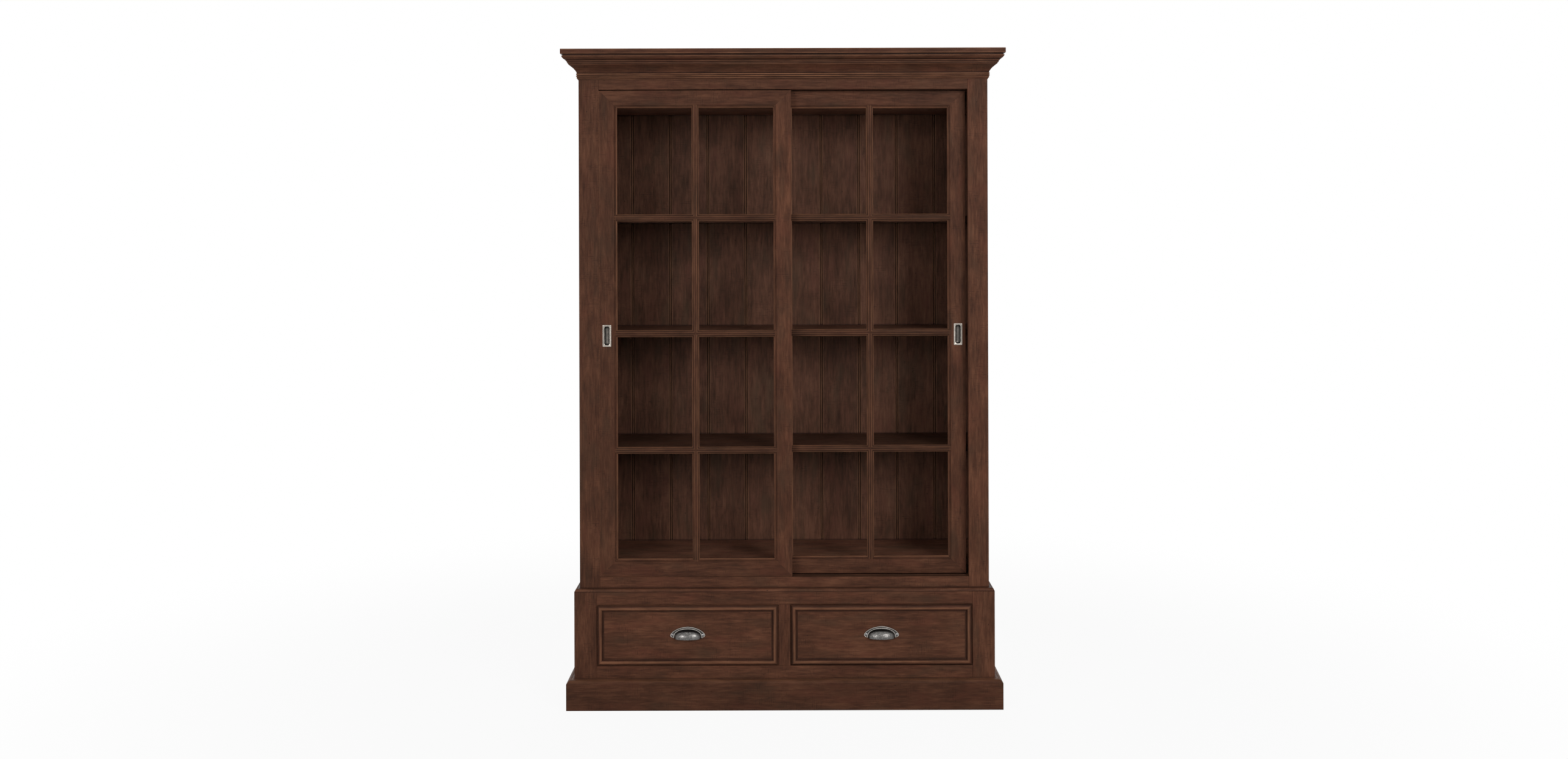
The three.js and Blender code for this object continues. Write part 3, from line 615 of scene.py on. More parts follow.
def closed_mesh(solids):
    """Points and faces of closed solids, each of which is given as equal rings of points."""
    points, faces = [], []
    for rings in solids:
        start, solid = len(points), flat(rings)
        solid_faces, _ = loft(rings, False)
        points += solid
        faces += [tuple(start + i for i in face) for face in facing_out(solid, solid_faces)]
    return points, faces


def moulding_piece(node, body, rings, relief_and_light, materials, is_closed_path=False):
    """A moulding in place of a node. Its stretches have the two materials by turns."""
    points = flat(rings)
    faces, owners = loft(rings, is_closed_path)
    mesh_piece(
        f"{node}_wood", points, facing_out(points, faces), materials, body, "stained_wood",
        [owner % 2 for owner in owners], relief_and_light * len(rings), node,
    )


def weld(piece):
    """Merges the points that two stretches share, and turns every face outward."""
    mesh = bmesh.new()
    mesh.from_mesh(piece.data)
    bmesh.ops.remove_doubles(mesh, verts=mesh.verts, dist=WELD_DISTANCE)
    bmesh.ops.recalc_face_normals(mesh, faces=mesh.faces)
    mesh.to_mesh(piece.data)
    mesh.free()


# Mouldings that wrap the left side, the front and the right side


SECTION_STEP = 0.9 * MM
RELIEF_REACH = 3.5 * MM
CROWN_SHARES = (
    (0, 0), (0.04, 0), (0.045, 0.025), (0.07, 0.03, 0.1, 0.05), (0.1, 0.072), (0.075, 0.08),
    (0.075, 0.092), (0.13, 0.092, 0.13, 0.118), (0.13, 0.145, 0.08, 0.147), (0.08, 0.16), (0.125, 0.165),
    (0.125, 0.207), (0.092, 0.215), (0.092, 0.235), (0.11, 0.24), (0.11, 0.25),
    (0.2, 0.36, 0.54, 0.49), (0.56, 0.5), (0.56, 0.535), (0.62, 0.54), (0.62, 0.58),
    (0.68, 0.6), (0.68, 0.635), (0.74, 0.655), (0.87, 0.67, 0.93, 0.755), (0.93, 0.772),
    (0.87, 0.778), (0.87, 0.83), (1, 0.835), (1, 0.99), (0.985, 1), (0, 1),
)
BASE_MOULDING_SHARES = (
    (0, 0), (1, 0), (1, 0.16), (0.94, 0.2), (0.82, 0.98, 0.16, 0.9), (0.12, 1), (0, 1),
)
PLINTH_CAP_SHARES = ((0, 1), (0.09, 1), (0.11, 0.9), (0.72, 0.98, 0.93, 0.16), (1, 0.1), (1, 0))
PLINTH_CAP_HEIGHT = 13.5 * MM
PLINTH_CAP_TOP_SHARE = 0.93
CROWN_ARRIS = 0.4 * MM
BASE_MOULDING_ARRIS = 0.6 * MM
PLINTH_ARRIS = 0.8 * MM
# The crown is drawn a little darker and the plinth much darker than the case: painted shade
CROWN_SHADE = 0.9
PLINTH_SHADE = 0.76
PLINTH_GRIME_AND_SHADE = 0.45
# Painted highlight and painted shade on the base moulding and the plinth cap
BASE_MOULDING_HIGHLIGHT, BASE_MOULDING_EDGE_SHADE = 0.04, 0.16
PLINTH_CAP_HIGHLIGHT, PLINTH_TOP_SHADOW = 0.1, 0.12


def wrap_moulding(node, section, half, face_y, arris, seed, shade=1.0, grime_and_shade=FULL_GRIME_AND_SHADE, painted_light=None):
    """A section carried round the case, mitred at both front corners.

    The last argument gives the painted highlight (above 0) and painted shade (below 0) at a height, in
    place of the moulding's own relief.
    """
    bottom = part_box(node)[0].z
    shape = refined(rounded(section, arris), SECTION_STEP)
    relief_and_light = [painted_light(up) for _, up in shape] if painted_light else outline_relief(shape, RELIEF_REACH)
    corners = (
        (-half, back_y, -1, 0), (-half, face_y, -1, -1), (half, face_y, 1, -1), (half, back_y, 1, 0),
    )
    rings = [
        [(x + out_x * across, y + out_y * across, bottom + up) for across, up in shape]
        for x, y, out_x, out_y in corners
    ]
    materials = [wood("stained", grain, seed, shade, True, grime_and_shade=grime_and_shade) for grain in ("Y", "X")]
    moulding_piece(node, "cabinet", rings, relief_and_light, materials)


def make_crown():
    low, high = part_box("crown_moulding")
    crown = curve_points(CROWN_SHARES, high.x - case_half, high.z - low.z)
    wrap_moulding("crown_moulding", crown, case_half, front_y, CROWN_ARRIS, 1, CROWN_SHADE)


def make_base_moulding():
    low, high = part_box("base_moulding")
    moulding = curve_points(BASE_MOULDING_SHARES, high.x - case_half, high.z - low.z)
    middle = (high.z - low.z) / 2

    def painted_light(up):
        """A little painted highlight at mid height, and painted shade towards both edges."""
        return BASE_MOULDING_HIGHLIGHT - BASE_MOULDING_EDGE_SHADE * abs(up - middle) / middle

    wrap_moulding("base_moulding", moulding, case_half, front_y, BASE_MOULDING_ARRIS, 2, painted_light=painted_light)


def make_plinth():
    low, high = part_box("plinth")
    reach = high.x - base_half
    cap = curve_points(PLINTH_CAP_SHARES, reach, PLINTH_CAP_HEIGHT)
    cap_bottom = high.z - PLINTH_CAP_HEIGHT
    plinth = [(0, 0), *((x, cap_bottom + z) for x, z in cap), (reach, 0)]

    def painted_light(up):
        """A painted highlight that grows up the cap, with a painted shadow line at its top, against the
        base.
        """
        share = max(up - cap_bottom, 0.0) / PLINTH_CAP_HEIGHT
        return PLINTH_CAP_HIGHLIGHT * share if share < PLINTH_CAP_TOP_SHARE else -PLINTH_TOP_SHADOW

    wrap_moulding(
        "plinth", plinth, base_half, base_front_y, PLINTH_ARRIS, 3, PLINTH_SHADE, PLINTH_GRIME_AND_SHADE, painted_light,
    )


# Boards of the case and the base, which keep their frame shape


BOARDS = (
    # tone, grain, and how light each board is drawn beside the others, which is partly painted light:
    # lighter deck and ceiling panels inside the case, a lighter right stile, a darker top rail and
    # bottom track
    ("stained", "X", {"top_board": 1.0}),
    ("stained", "Z", {
        "upper_side_left": 1.0, "upper_side_right": 1.0,
        "frame_stile_left": 0.88, "frame_stile_right": 1.1,
    }),
    ("stained", "X", {"frame_top_rail": 0.86, "frame_bottom_rail": 1.08}),
    ("inside", "X", {
        "deck_panel": 1.95, "shelf_lower": 0.9, "shelf_middle": 1.2, "shelf_upper": 1.2,
        "ceiling_panel": 2.2, "top_track": 1.0,
    }),
    ("stained", "X", {"bottom_track": 0.6}),
    ("stained", "Z", {"base_stile_left": 1.0, "base_stile_right": 1.05, "base_stile_centre": 1.0}),
    ("stained", "X", {"base_top_rail": 1.08, "base_bottom_rail": 1.14}),
    ("stained", "Z", {"base_side_left": 1.0, "base_side_right": 1.0}),
    ("inside", "X", {"base_top": 1.0, "base_back": 1.0, "base_floor": 1.0}),
    ("stained", "X", {"left_drawer_front": 1.11, "right_drawer_front": 1.06}),
    ("drawer", "Y", {
        "drawer_runner_left": 1.0, "drawer_runner_right": 1.0, "drawer_runner_centre": 1.0,
    }),
    ("drawer", "XY", {"left_drawer_box": 1.0, "right_drawer_box": 1.0}),
    ("drawer", "X", {"left_drawer_bottom": 1.0, "right_drawer_bottom": 1.0}),
)
BOARD_ARRIS = 1.1 * MM
BOARD_GRIME_AND_SHADE = 0.4
FIRST_BOARD_SEED = 10


def make_boards():
    seed = FIRST_BOARD_SEED
    for tone, grain, shades in BOARDS:
        for node, shade in shades.items():
            dress(node, wood(tone, grain, seed, shade, grime_and_shade=BOARD_GRIME_AND_SHADE), BOARD_ARRIS)
            seed += 1


# Beadboard back: boards with a small bead between two quirks at each joint


BACK_PITCH = 132 * MM
BACK_JOINTS_PER_SIDE = 4
BACK_BEAD_WIDTH = 5 * MM
BACK_QUIRK_WIDTH = 2.2 * MM
BACK_QUIRK_DEPTH = 3.5 * MM
BACK_QUIRK_FLOOR = 0.3 * MM
BACK_ARRIS = 0.5 * MM
BACK_STEP = 3 * SECTION_STEP
# The back is drawn lighter than its tone: painted light inside the case
BACK_SHADE = 1.35
BEAD_STEPS = 10
BACK_BEAD_DROP = 0.4 * MM
BACK_REAR_SETBACK = 0.7 * MM
BACK_REAR_GROOVE = 1.9 * MM
NAIL_RADIUS = 3.2 * MM
NAIL_RISE = 0.6 * MM
NAIL_EDGE = 11 * MM
NAIL_PITCH = 165 * MM
NAIL_ROW_GAP = 90 * MM
NAIL_SIDES = 16
NAIL_SHARES = ((1, 0), (0.92, 0.6), (0.6, 0.93), (0.2, 1))


def make_back():
    low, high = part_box("beadboard_back")
    face, rear, half_bead = low.y, high.y - BACK_REAR_SETBACK, BACK_BEAD_WIDTH / 2
    quirk = [
        (half_bead, BACK_QUIRK_DEPTH), (half_bead + BACK_QUIRK_FLOOR, BACK_QUIRK_DEPTH),
        (half_bead + BACK_QUIRK_WIDTH, 0),
    ]
    turns = [pi * i / BEAD_STEPS for i in range(BEAD_STEPS + 1)]
    bead = [(-half_bead * cos(t), BACK_BEAD_DROP + (1 - sin(t)) * half_bead) for t in turns]
    joint = [(-x, y) for x, y in reversed(quirk)] + bead + quirk
    groove = [(BACK_REAR_GROOVE, 0), (0, -BACK_REAR_GROOVE), (-BACK_REAR_GROOVE, 0)]
    middles = [k * BACK_PITCH for k in range(-BACK_JOINTS_PER_SIDE, BACK_JOINTS_PER_SIDE + 1)]
    outline = [(low.x, rear), (low.x, face)]
    outline += [(middle + x, face + y) for middle in middles for x, y in joint]
    outline += [(high.x, face), (high.x, rear)]
    outline += [(middle + x, rear + y) for middle in reversed(middles) for x, y in groove]
    shape = refined(rounded(outline, BACK_ARRIS), BACK_STEP)
    relief_and_light = outline_relief(shape, RELIEF_REACH)
    rings = [[(x, y, z) for x, y in shape] for z in (low.z, high.z)]
    mesh_piece(
        "back_boards", *closed_mesh([rings]), [wood("inside", "Z", 5, BACK_SHADE, True, BACK_PITCH)],
        "cabinet", "inside_wood", None, relief_and_light * len(rings), "beadboard_back",
    )


def nail_places():
    """Across and up: rows at the case's ends and at each shelf, and both sides between them."""
    low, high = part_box("beadboard_back")
    left, right = low.x + NAIL_EDGE, high.x - NAIL_EDGE
    bottom, top = low.z + NAIL_EDGE, high.z - NAIL_EDGE
    rows = [bottom]
    for shelf in ("deck_panel", "shelf_lower", "shelf_middle", "shelf_upper", "ceiling_panel"):
        shelf_low, shelf_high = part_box(shelf)
        row = (shelf_low.z + shelf_high.z) / 2
        if row - rows[-1] > NAIL_ROW_GAP:
            rows.append(row)
    rows.append(top)
    board_middles = [
        (k + 0.5) * BACK_PITCH for k in range(-BACK_JOINTS_PER_SIDE, BACK_JOINTS_PER_SIDE)
    ]
    places = [(x, row) for row in rows for x in (left, *board_middles, right)]
    for row, next_row in zip(rows, rows[1:]):
        count = max(1, round((next_row - row) / NAIL_PITCH))
        for i in range(1, count):
            places += [(x, row + (next_row - row) * i / count) for x in (left, right)]
    return places


def make_nails():
    """Round nail heads that hold the back to the case."""
    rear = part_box("beadboard_back")[1].y - BACK_REAR_SETBACK
    turns = [2 * pi * i / NAIL_SIDES for i in range(NAIL_SIDES)]
    heads = []
    for x, z in nail_places():
        rings = []
        for radius_share, rise_share in NAIL_SHARES:
            radius, y = NAIL_RADIUS * radius_share, rear + NAIL_RISE * rise_share
            rings.append([(x + radius * cos(t), y, z + radius * sin(t)) for t in turns])
        heads.append(rings)
    mesh_piece("back_nails", *closed_mesh(heads), [finishes["steel"]], "cabinet", "steel")


# Doors


STICKING_WIDTH = 9 * MM
STICKING_DEPTH = 5 * MM
STICKING_LIP = 3 * MM
DOOR_ARRIS = 0.06 * MM
FIRST_DOOR_SEED = 50
ROLLER_ARRIS = 0.3 * MM
DOOR_MEMBERS = (
    # member, grain and how light it is in the left and in the right door
    ("left_stile", "Z", 0.84, 0.9), ("right_stile", "Z", 1.08, 0.98),
    ("top_rail", "X", 0.83, 0.92), ("bottom_rail", "X", 0.94, 0.94),
)
MUNTIN_SHADES = {"Z": 0.74, "X": 0.64}
MUNTIN_GRIME_AND_SHADE = 0.42
MUNTIN_RELIEF_REACH = 1.6 * MM
MUNTIN_FLAT = 5 * MM
MUNTIN_ARRIS = 0.25 * MM
MUNTIN_SHARES = (
    # across from the middle, and back from the door's face
    (0, 0.16), (0.17, 0.16), (0.2, 0, 0.36, 0), (0.5, 0, 0.53, 0.3), (0.55, 0.56), (0.7, 0.62),
    (0.76, 0.46, 0.84, 0.46), (0.97, 0.46, 1, 0.95),
)
MUNTIN_HEIGHT_SHARES = (0.24, 0.499, 0.756)
GLASS_SETBACK = 12 * MM
COPE_GAP = 0.3 * MM


def muntin_section():
    """Section of a bar: across from its middle line, and back from the door's face."""
    half = curve_points(MUNTIN_SHARES, MUNTIN_FLAT / 2 + STICKING_WIDTH, STICKING_DEPTH)
    rear_middle = (0.0, GLASS_SETBACK)
    half = rounded([*half, (half[-1][0], GLASS_SETBACK)], MUNTIN_ARRIS, 2, False)
    half = refined([*half, rear_middle], SECTION_STEP)
    half = half[:half.index(rear_middle) + 1]
    mirrored = [(-across, back) for across, back in reversed(half[1:-1])]
    return mirrored + half


def add_bar(points, faces, indices, section, place, ends, grain):
    """One stretch of a bar. An end is its anchor, its direction and whether it meets the frame."""
    start, count = len(points), len(section)
    for anchor, inward, meets_frame in ends:
        for across, back in section:
            reach = abs(across)
            if meets_frame:
                reach = COPE_GAP - max(reach - MUNTIN_FLAT / 2, 0.0)
            points.append(place(across, back, anchor + inward * reach))
    sides, _ = loft([section, section], False, has_caps=False)
    faces += [tuple(start + i for i in side) for side in sides]
    for side, (_, _, meets_frame) in enumerate(ends):
        if meets_frame:
            faces.append(tuple(start + side * count + i for i in range(count)))
    indices += [grain] * (len(faces) - len(indices))


def make_muntins(door, seed):
    """Upright and crossbars, mitred where they cross and coped to the sticking of the frame."""
    face_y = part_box(f"{door}_left_stile")[0].y
    left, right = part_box(f"{door}_left_stile")[1].x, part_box(f"{door}_right_stile")[0].x
    bottom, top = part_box(f"{door}_bottom_rail")[1].z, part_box(f"{door}_top_rail")[0].z
    middle = (left + right) / 2
    heights = [bottom + share * (top - bottom) for share in MUNTIN_HEIGHT_SHARES]
    section = muntin_section()
    relief_and_light = outline_relief(section, MUNTIN_RELIEF_REACH)
    points, faces, indices = [], [], []
    stops = [(bottom - STICKING_WIDTH, True), *((z, False) for z in heights)]
    stops.append((top + STICKING_WIDTH, True))
    for (low, low_frame), (high, high_frame) in zip(stops, stops[1:]):
        add_bar(
            points, faces, indices, section,
            lambda across, back, along: (middle + across, face_y + back, along),
            ((low, 1, low_frame), (high, -1, high_frame)), 0,
        )
    for height in heights:
        for edge, inward in ((left - STICKING_WIDTH, 1), (right + STICKING_WIDTH, -1)):
            add_bar(
                points, faces, indices, section,
                lambda across, back, along: (along, face_y + back, height + across),
                ((edge, inward, True), (middle, -inward, False)), 1,
            )
    materials = [
        wood("stained", grain, seed, shade, True, grime_and_shade=MUNTIN_GRIME_AND_SHADE)
        for grain, shade in MUNTIN_SHADES.items()
    ]
    node = f"{door}_muntins"
    piece = mesh_piece(
        f"{node}_wood", points, faces, materials, door, "stained_wood",
        indices, relief_and_light * (len(points) // len(section)),
    )
    weld(piece)
    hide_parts(node)


# Pulls


FLUSH_PULL_RINGS = (
    # mm inward from the plate's edge, mm out from the door's face, and how bright (1) or dark (-1) it is
    # painted: painted highlight on the rim, painted shade in the trough
    (5.4, -9.4, 0), (5.0, -9.0, 0), (5.0, 0, 0), (0, 0, -0.5), (0, 0.55, 0.1), (0.15, 0.85, 0.4),
    (0.5, 1.1, 0.65), (1.0, 1.2, 0.7), (2.0, 1.18, 0.35), (3.4, 1.0, 0.2), (4.8, 0.75, 0.32),
    (5.5, 0.6, 0.1), (5.9, 0.3, -0.6), (6.1, -0.3, -1), (6.3, -4.6, -1), (6.7, -5.8, -1),
    (7.8, -6.6, -1), (8.6, -7.1, -0.7), (10.6, -7.6, -0.62), (12.2, -7.8, -0.56), (13.4, -7.85, -0.54),
)
FLUSH_PULL_CORNER = 2.4 * MM
FLUSH_RECESS_CORNER = 4.2 * MM
FLUSH_PULL_RIM = 6 * MM
FLUSH_CORNER_SHINE = 0.4
FLUSH_ROUND_LIMIT_SHARE = 0.98
CORNER_STEPS = 8


def rounded_rectangle(half_width, half_height, radius):
    """Points round a rectangle with round corners, as many whatever its size."""
    points = []
    for turn, side_x, side_z in ((0, 1, 1), (1, -1, 1), (2, -1, -1), (3, 1, -1)):
        for i in range(CORNER_STEPS + 1):
            angle = pi / 2 * (turn + i / CORNER_STEPS)
            points.append((
                side_x * (half_width - radius) + radius * cos(angle),
                side_z * (half_height - radius) + radius * sin(angle),
            ))
    return points


def make_flush_pull(door):
    """Plate with a round edge and a trough for the fingers, let into the stile."""
    node = f"{door}_flush_pull"
    low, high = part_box(node)
    face_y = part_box(f"{door}_left_stile")[0].y
    middle_x, middle_z = (low.x + high.x) / 2, (low.z + high.z) / 2
    half_width, half_height = (high.x - low.x) / 2, (high.z - low.z) / 2
    rings, relief_and_light = [], []
    for inward, out, tone in FLUSH_PULL_RINGS:
        inset = inward * MM
        share = min(inset / FLUSH_PULL_RIM, 1.0)
        radius = FLUSH_PULL_CORNER + share * (FLUSH_RECESS_CORNER - FLUSH_PULL_CORNER)
        radius = min(radius, (half_width - inset) * FLUSH_ROUND_LIMIT_SHARE)
        outline = rounded_rectangle(half_width - inset, half_height - inset, radius)
        rings.append([(middle_x + x, face_y - out * MM, middle_z + z) for x, z in outline])
        for i in range(len(outline)):
            # Painted highlight, stronger on the round corners of the rim
            corner_share = sin(pi * (i % (CORNER_STEPS + 1)) / CORNER_STEPS)
            relief_and_light.append(tone + (FLUSH_CORNER_SHINE * corner_share if tone > 0 else 0.0))
    mesh_piece(
        f"{node}_metal", *closed_mesh([rings]), [finishes["nickel"]], door, "pewter",
        None, relief_and_light, node,
    )


# Thin strips in the gaps round the left door and the drawers, and a dark strip that paints the shadow
# along the door's track


STRIP_SETBACKS = {"left_door": 2.6 * MM, "left_drawer": 3 * MM, "right_drawer": 6.5 * MM}
SIDE_STRIP_SETBACK = 0.3 * MM
STRIP_DEPTH = 8 * MM
STRIP_CLEARANCE = 0.15 * MM
# A painted shadow strip along the door's track
TRACK_SHADOW_INSET = 0.8 * MM
TRACK_SHADOW_THICKNESS = 0.1 * MM
TRACK_SHADOW_SHADE = 0.3


def make_strip(name, body, seed, bars, shade=1.0):
    """A piece of plain bars, each of which lies between two corners."""
    solids = []
    for (left, near, bottom), (right, far, top) in bars:
        plan = ((left, near), (right, near), (right, far), (left, far))
        solids.append([[(x, y, z) for x, y in plan] for z in (bottom, top)])
    material = wood("stained", "X", seed, shade, grime_and_shade=0.0)
    mesh_piece(name, *closed_mesh(solids), [material], body, "stained_wood")


def make_door_strip():
    """Strip on the left door's outer and lower edge."""
    low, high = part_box("left_door_left_stile")
    door_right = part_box("left_door_bottom_rail")[1].x
    frame_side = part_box("frame_stile_left")[1].x + STRIP_CLEARANCE
    frame_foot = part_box("frame_bottom_rail")[1].z + STRIP_CLEARANCE
    near = low.y + STRIP_SETBACKS["left_door"]
    far = near + STRIP_DEPTH
    make_strip("left_door_dust_strip", "left_door", 48, (
        ((frame_side, low.y + SIDE_STRIP_SETBACK, low.z), (low.x, far, high.z)),
        ((frame_side, near, frame_foot), (door_right, far, low.z)),
    ))


def make_track_shadow_strip():
    """Dark strip on top of the frame's bottom rail, just under the left door: a painted shadow along the
    door's track.
    """
    low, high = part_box("frame_bottom_rail")
    start = (low.x, low.y + TRACK_SHADOW_INSET, high.z)
    end = (high.x, high.y, high.z + TRACK_SHADOW_THICKNESS)
    make_strip("frame_track_shadow_strip", "cabinet", 47, [(start, end)], TRACK_SHADOW_SHADE)


def make_drawer_strip(drawer):
    """Strip round all four edges of a drawer front, as wide at the sides as at the top."""
    low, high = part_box(f"{drawer}_front")
    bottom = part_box("base_bottom_rail")[1].z + STRIP_CLEARANCE
    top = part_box("base_top_rail")[0].z - STRIP_CLEARANCE
    left, right = low.x - (top - high.z), high.x + (top - high.z)
    near = low.y + STRIP_SETBACKS[drawer]
    far = near + STRIP_DEPTH
    make_strip(f"{drawer}_dust_strip", drawer, 49, (
        ((left, near, high.z), (right, far, top)), ((left, near, bottom), (right, far, low.z)),
        ((left, near, low.z), (low.x, far, high.z)), ((high.x, near, low.z), (right, far, high.z)),
    ))


# Both doors with all that they carry


def make_doors():
    for side, door in enumerate(("left_door", "right_door")):
        seed = FIRST_DOOR_SEED + side
        lip_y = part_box(f"{door}_left_stile")[0].y + STICKING_LIP
        for shift, (member, grain, *shades) in enumerate(DOOR_MEMBERS):
            material = wood(
                "stained", grain, seed + 2 * shift, shades[side], grime_and_shade=BOARD_GRIME_AND_SHADE, lip_y=lip_y,
            )
            dress(f"{door}_{member}", material, DOOR_ARRIS)
        make_muntins(door, seed + 2 * len(DOOR_MEMBERS))
        make_flush_pull(door)
        dress(f"{door}_glass", finishes["glass"])
        for end in ("left", "right"):
            dress(f"{door}_{end}_roller", finishes["steel"], ROLLER_ARRIS)
    make_door_strip()
    make_track_shadow_strip()


# Drawers


BEAD_FRAME_WIDTH = 21 * MM
BEAD_FRAME_ARRIS = 0.4 * MM
BEAD_FRAME_CREST_SHARE = 0.88
BEAD_FRAME_LIGHT_AND_SHADE = (-0.1, 0.11)
FIRST_DRAWER_SEED = 70
BEAD_FRAME_SHARES = (
    (0, 0), (0, 0.3), (0.12, 0.95, 0.47, 1), (0.72, 0.98, 0.79, 0.42),
    (0.81, 0.24), (0.86, 0.13), (1, 0.11), (1, 0),
)
BEAD_FRAME_SHADES = {"X": 1.0, "Z": 0.86}


def make_bead_frame(drawer, seed):
    """Half-round moulding mitred round the edge of a drawer front."""
    node = f"{drawer}_bead_frame"
    low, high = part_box(node)
    height = high.y - low.y
    shape = curve_points(BEAD_FRAME_SHARES, BEAD_FRAME_WIDTH, height)
    shape = refined(rounded(shape, BEAD_FRAME_ARRIS), SECTION_STEP)
    # Lighter along the crest from wear and painted highlight, darker on the sides and in the quirk from
    # painted shade
    lowest, highest = BEAD_FRAME_LIGHT_AND_SHADE
    relief_and_light = [min(max(up / height - BEAD_FRAME_CREST_SHARE, lowest), highest) for _, up in shape]
    corners = (
        (low.x, low.z, 1, 1), (high.x, low.z, -1, 1), (high.x, high.z, -1, -1), (low.x, high.z, 1, -1),
    )
    rings = [
        [(x + in_x * across, high.y - up, z + in_z * across) for across, up in shape]
        for x, z, in_x, in_z in corners
    ]
    materials = [wood("stained", grain, seed, shade, True) for grain, shade in BEAD_FRAME_SHADES.items()]
    moulding_piece(node, drawer, rings, relief_and_light, materials, True)


CUP_WIDTH = 88 * MM
CUP_HEIGHT = 28.5 * MM
CUP_WALL = 2.2 * MM
CUP_POWER = 2.5
CUP_PLAN_POWER = 2.05
FLANGE_POWER = 1.72
EAR_LIFT = 2.6 * MM
EAR_RISE = 9.4 * MM
EAR_FOOT = 10.5 * MM
FLANGE_RIDGE = (
    # mm from the flange's inner edge, mm out from the drawer's face, and how bright or dark it is
    # painted: wear and painted highlight on the ridge, painted shade where it meets the cup
    (0, 0, -1), (0, 2.2, -1), (1.0, 2.7, -0.5), (1.9, 3.3, 0.7), (3.0, 3.5, 1), (4.1, 3.3, 0.8),
    (4.8, 2.7, 0), (5.4, 2.0, -0.55),
)
FLANGE_RIM = (
    # mm from the flange's outer edge, mm out from the drawer's face, and how bright or dark it is
    # painted: wear and painted highlight on the rim, painted shade in the groove and at its foot
    (4.4, 1.9, -0.55), (3.7, 2.4, 0), (2.8, 2.9, 0.7), (1.5, 3.0, 1), (0.6, 2.5, 1), (0, 1.4, 0.3),
    (0, 0, -1),
)
CUP_SCREW_SPREAD = 49.3 * MM
CUP_SCREW_RISE = 11.7 * MM
CUP_SCREW_RADIUS = 3.2 * MM
CUP_SCREW_SEAT = 1.6 * MM
CUP_SCREW_HEIGHT = 1.6 * MM
CUP_SCREW_SHARES = ((1, 0), (1, 0.45), (0.93, 0.68), (0.76, 0.87), (0.45, 1))
CUP_SCREW_STEPS = 12
CUP_SLOT = 0.45 * MM
FLANGE_LIGHT_AND_SHADE = 0.22
FLANGE_STEPS = 96
EAR_STEPS = 12
DOME_SIDES = 64
DOME_ROWS = 24
DOME_SWELL_POWER = 0.86
DOME_TOP_SHADE = 0.2
DOME_BRIGHT_SHARE, DOME_FADE_SHARE, DOME_FADE_POWER = 0.3, 0.5, 1.3


def power_arc(half_width, height, power, count):
    """Points over a half of a squarish ellipse, from its left foot to its right foot."""
    points = []
    for i in range(count + 1):
        turn = pi * (1 - i / count)
        x = copysign(abs(cos(turn)) ** (2 / power), cos(turn))
        points.append((half_width * x, height * abs(sin(turn)) ** (2 / power)))
    return points


def even_path(points, count):
    """The same path with its points an equal way apart."""
    lengths = [0.0]
    for a, b in zip(points, points[1:]):
        lengths.append(lengths[-1] + dist(a, b))
    result, k = [], 0
    for i in range(count + 1):
        goal = lengths[-1] * i / count
        while k < len(points) - 2 and lengths[k + 1] < goal:
            k += 1
        share = (goal - lengths[k]) / max(lengths[k + 1] - lengths[k], 1e-9)
        a, b = points[k], points[k + 1]
        result.append(tuple(p + share * (q - p) for p, q in zip(a, b)))
    return result


def flange_paths(width, height):
    """Inner and outer edge of the flange, from foot to foot."""
    half_wall, half = CUP_WALL / 2, width / 2
    inner = power_arc(CUP_WIDTH / 2 - half_wall, CUP_HEIGHT - half_wall, CUP_POWER, FLANGE_STEPS)
    ear = [
        (half - EAR_FOOT * (1 - sin(turn)), EAR_RISE - (EAR_RISE - EAR_LIFT) * cos(turn))
        for turn in (pi / 2 * i / EAR_STEPS for i in range(EAR_STEPS))
    ]
    arch = power_arc(half, height - EAR_RISE, FLANGE_POWER, FLANGE_STEPS)
    arch = [(x, EAR_RISE + z) for x, z in arch]
    outer = [(-x, z) for x, z in ear] + arch + list(reversed(ear))
    return even_path(inner, FLANGE_STEPS), even_path(outer, FLANGE_STEPS)


def make_flange(face_y, middle_x, foot_z, width, height):
    """Flat ring round the cup with a raised rim, a ridge and round ears."""
    rings = []
    for inner, outer in zip(*flange_paths(width, height)):
        a, b = Vector(inner), Vector(outer)
        across = (b - a).normalized()
        section = [(a + across * d * MM, out * MM) for d, out, _ in FLANGE_RIDGE]
        section += [(b - across * d * MM, out * MM) for d, out, _ in FLANGE_RIM]
        rings.append([(middle_x + p.x, face_y - out, foot_z + p.y) for p, out in section])
    # Painted highlight and painted shade from the tones of the ridge and the rim
    relief_and_light = [FLANGE_LIGHT_AND_SHADE * tone for _, _, tone in (*FLANGE_RIDGE, *FLANGE_RIM)] * len(rings)
    return *closed_mesh([rings]), relief_and_light


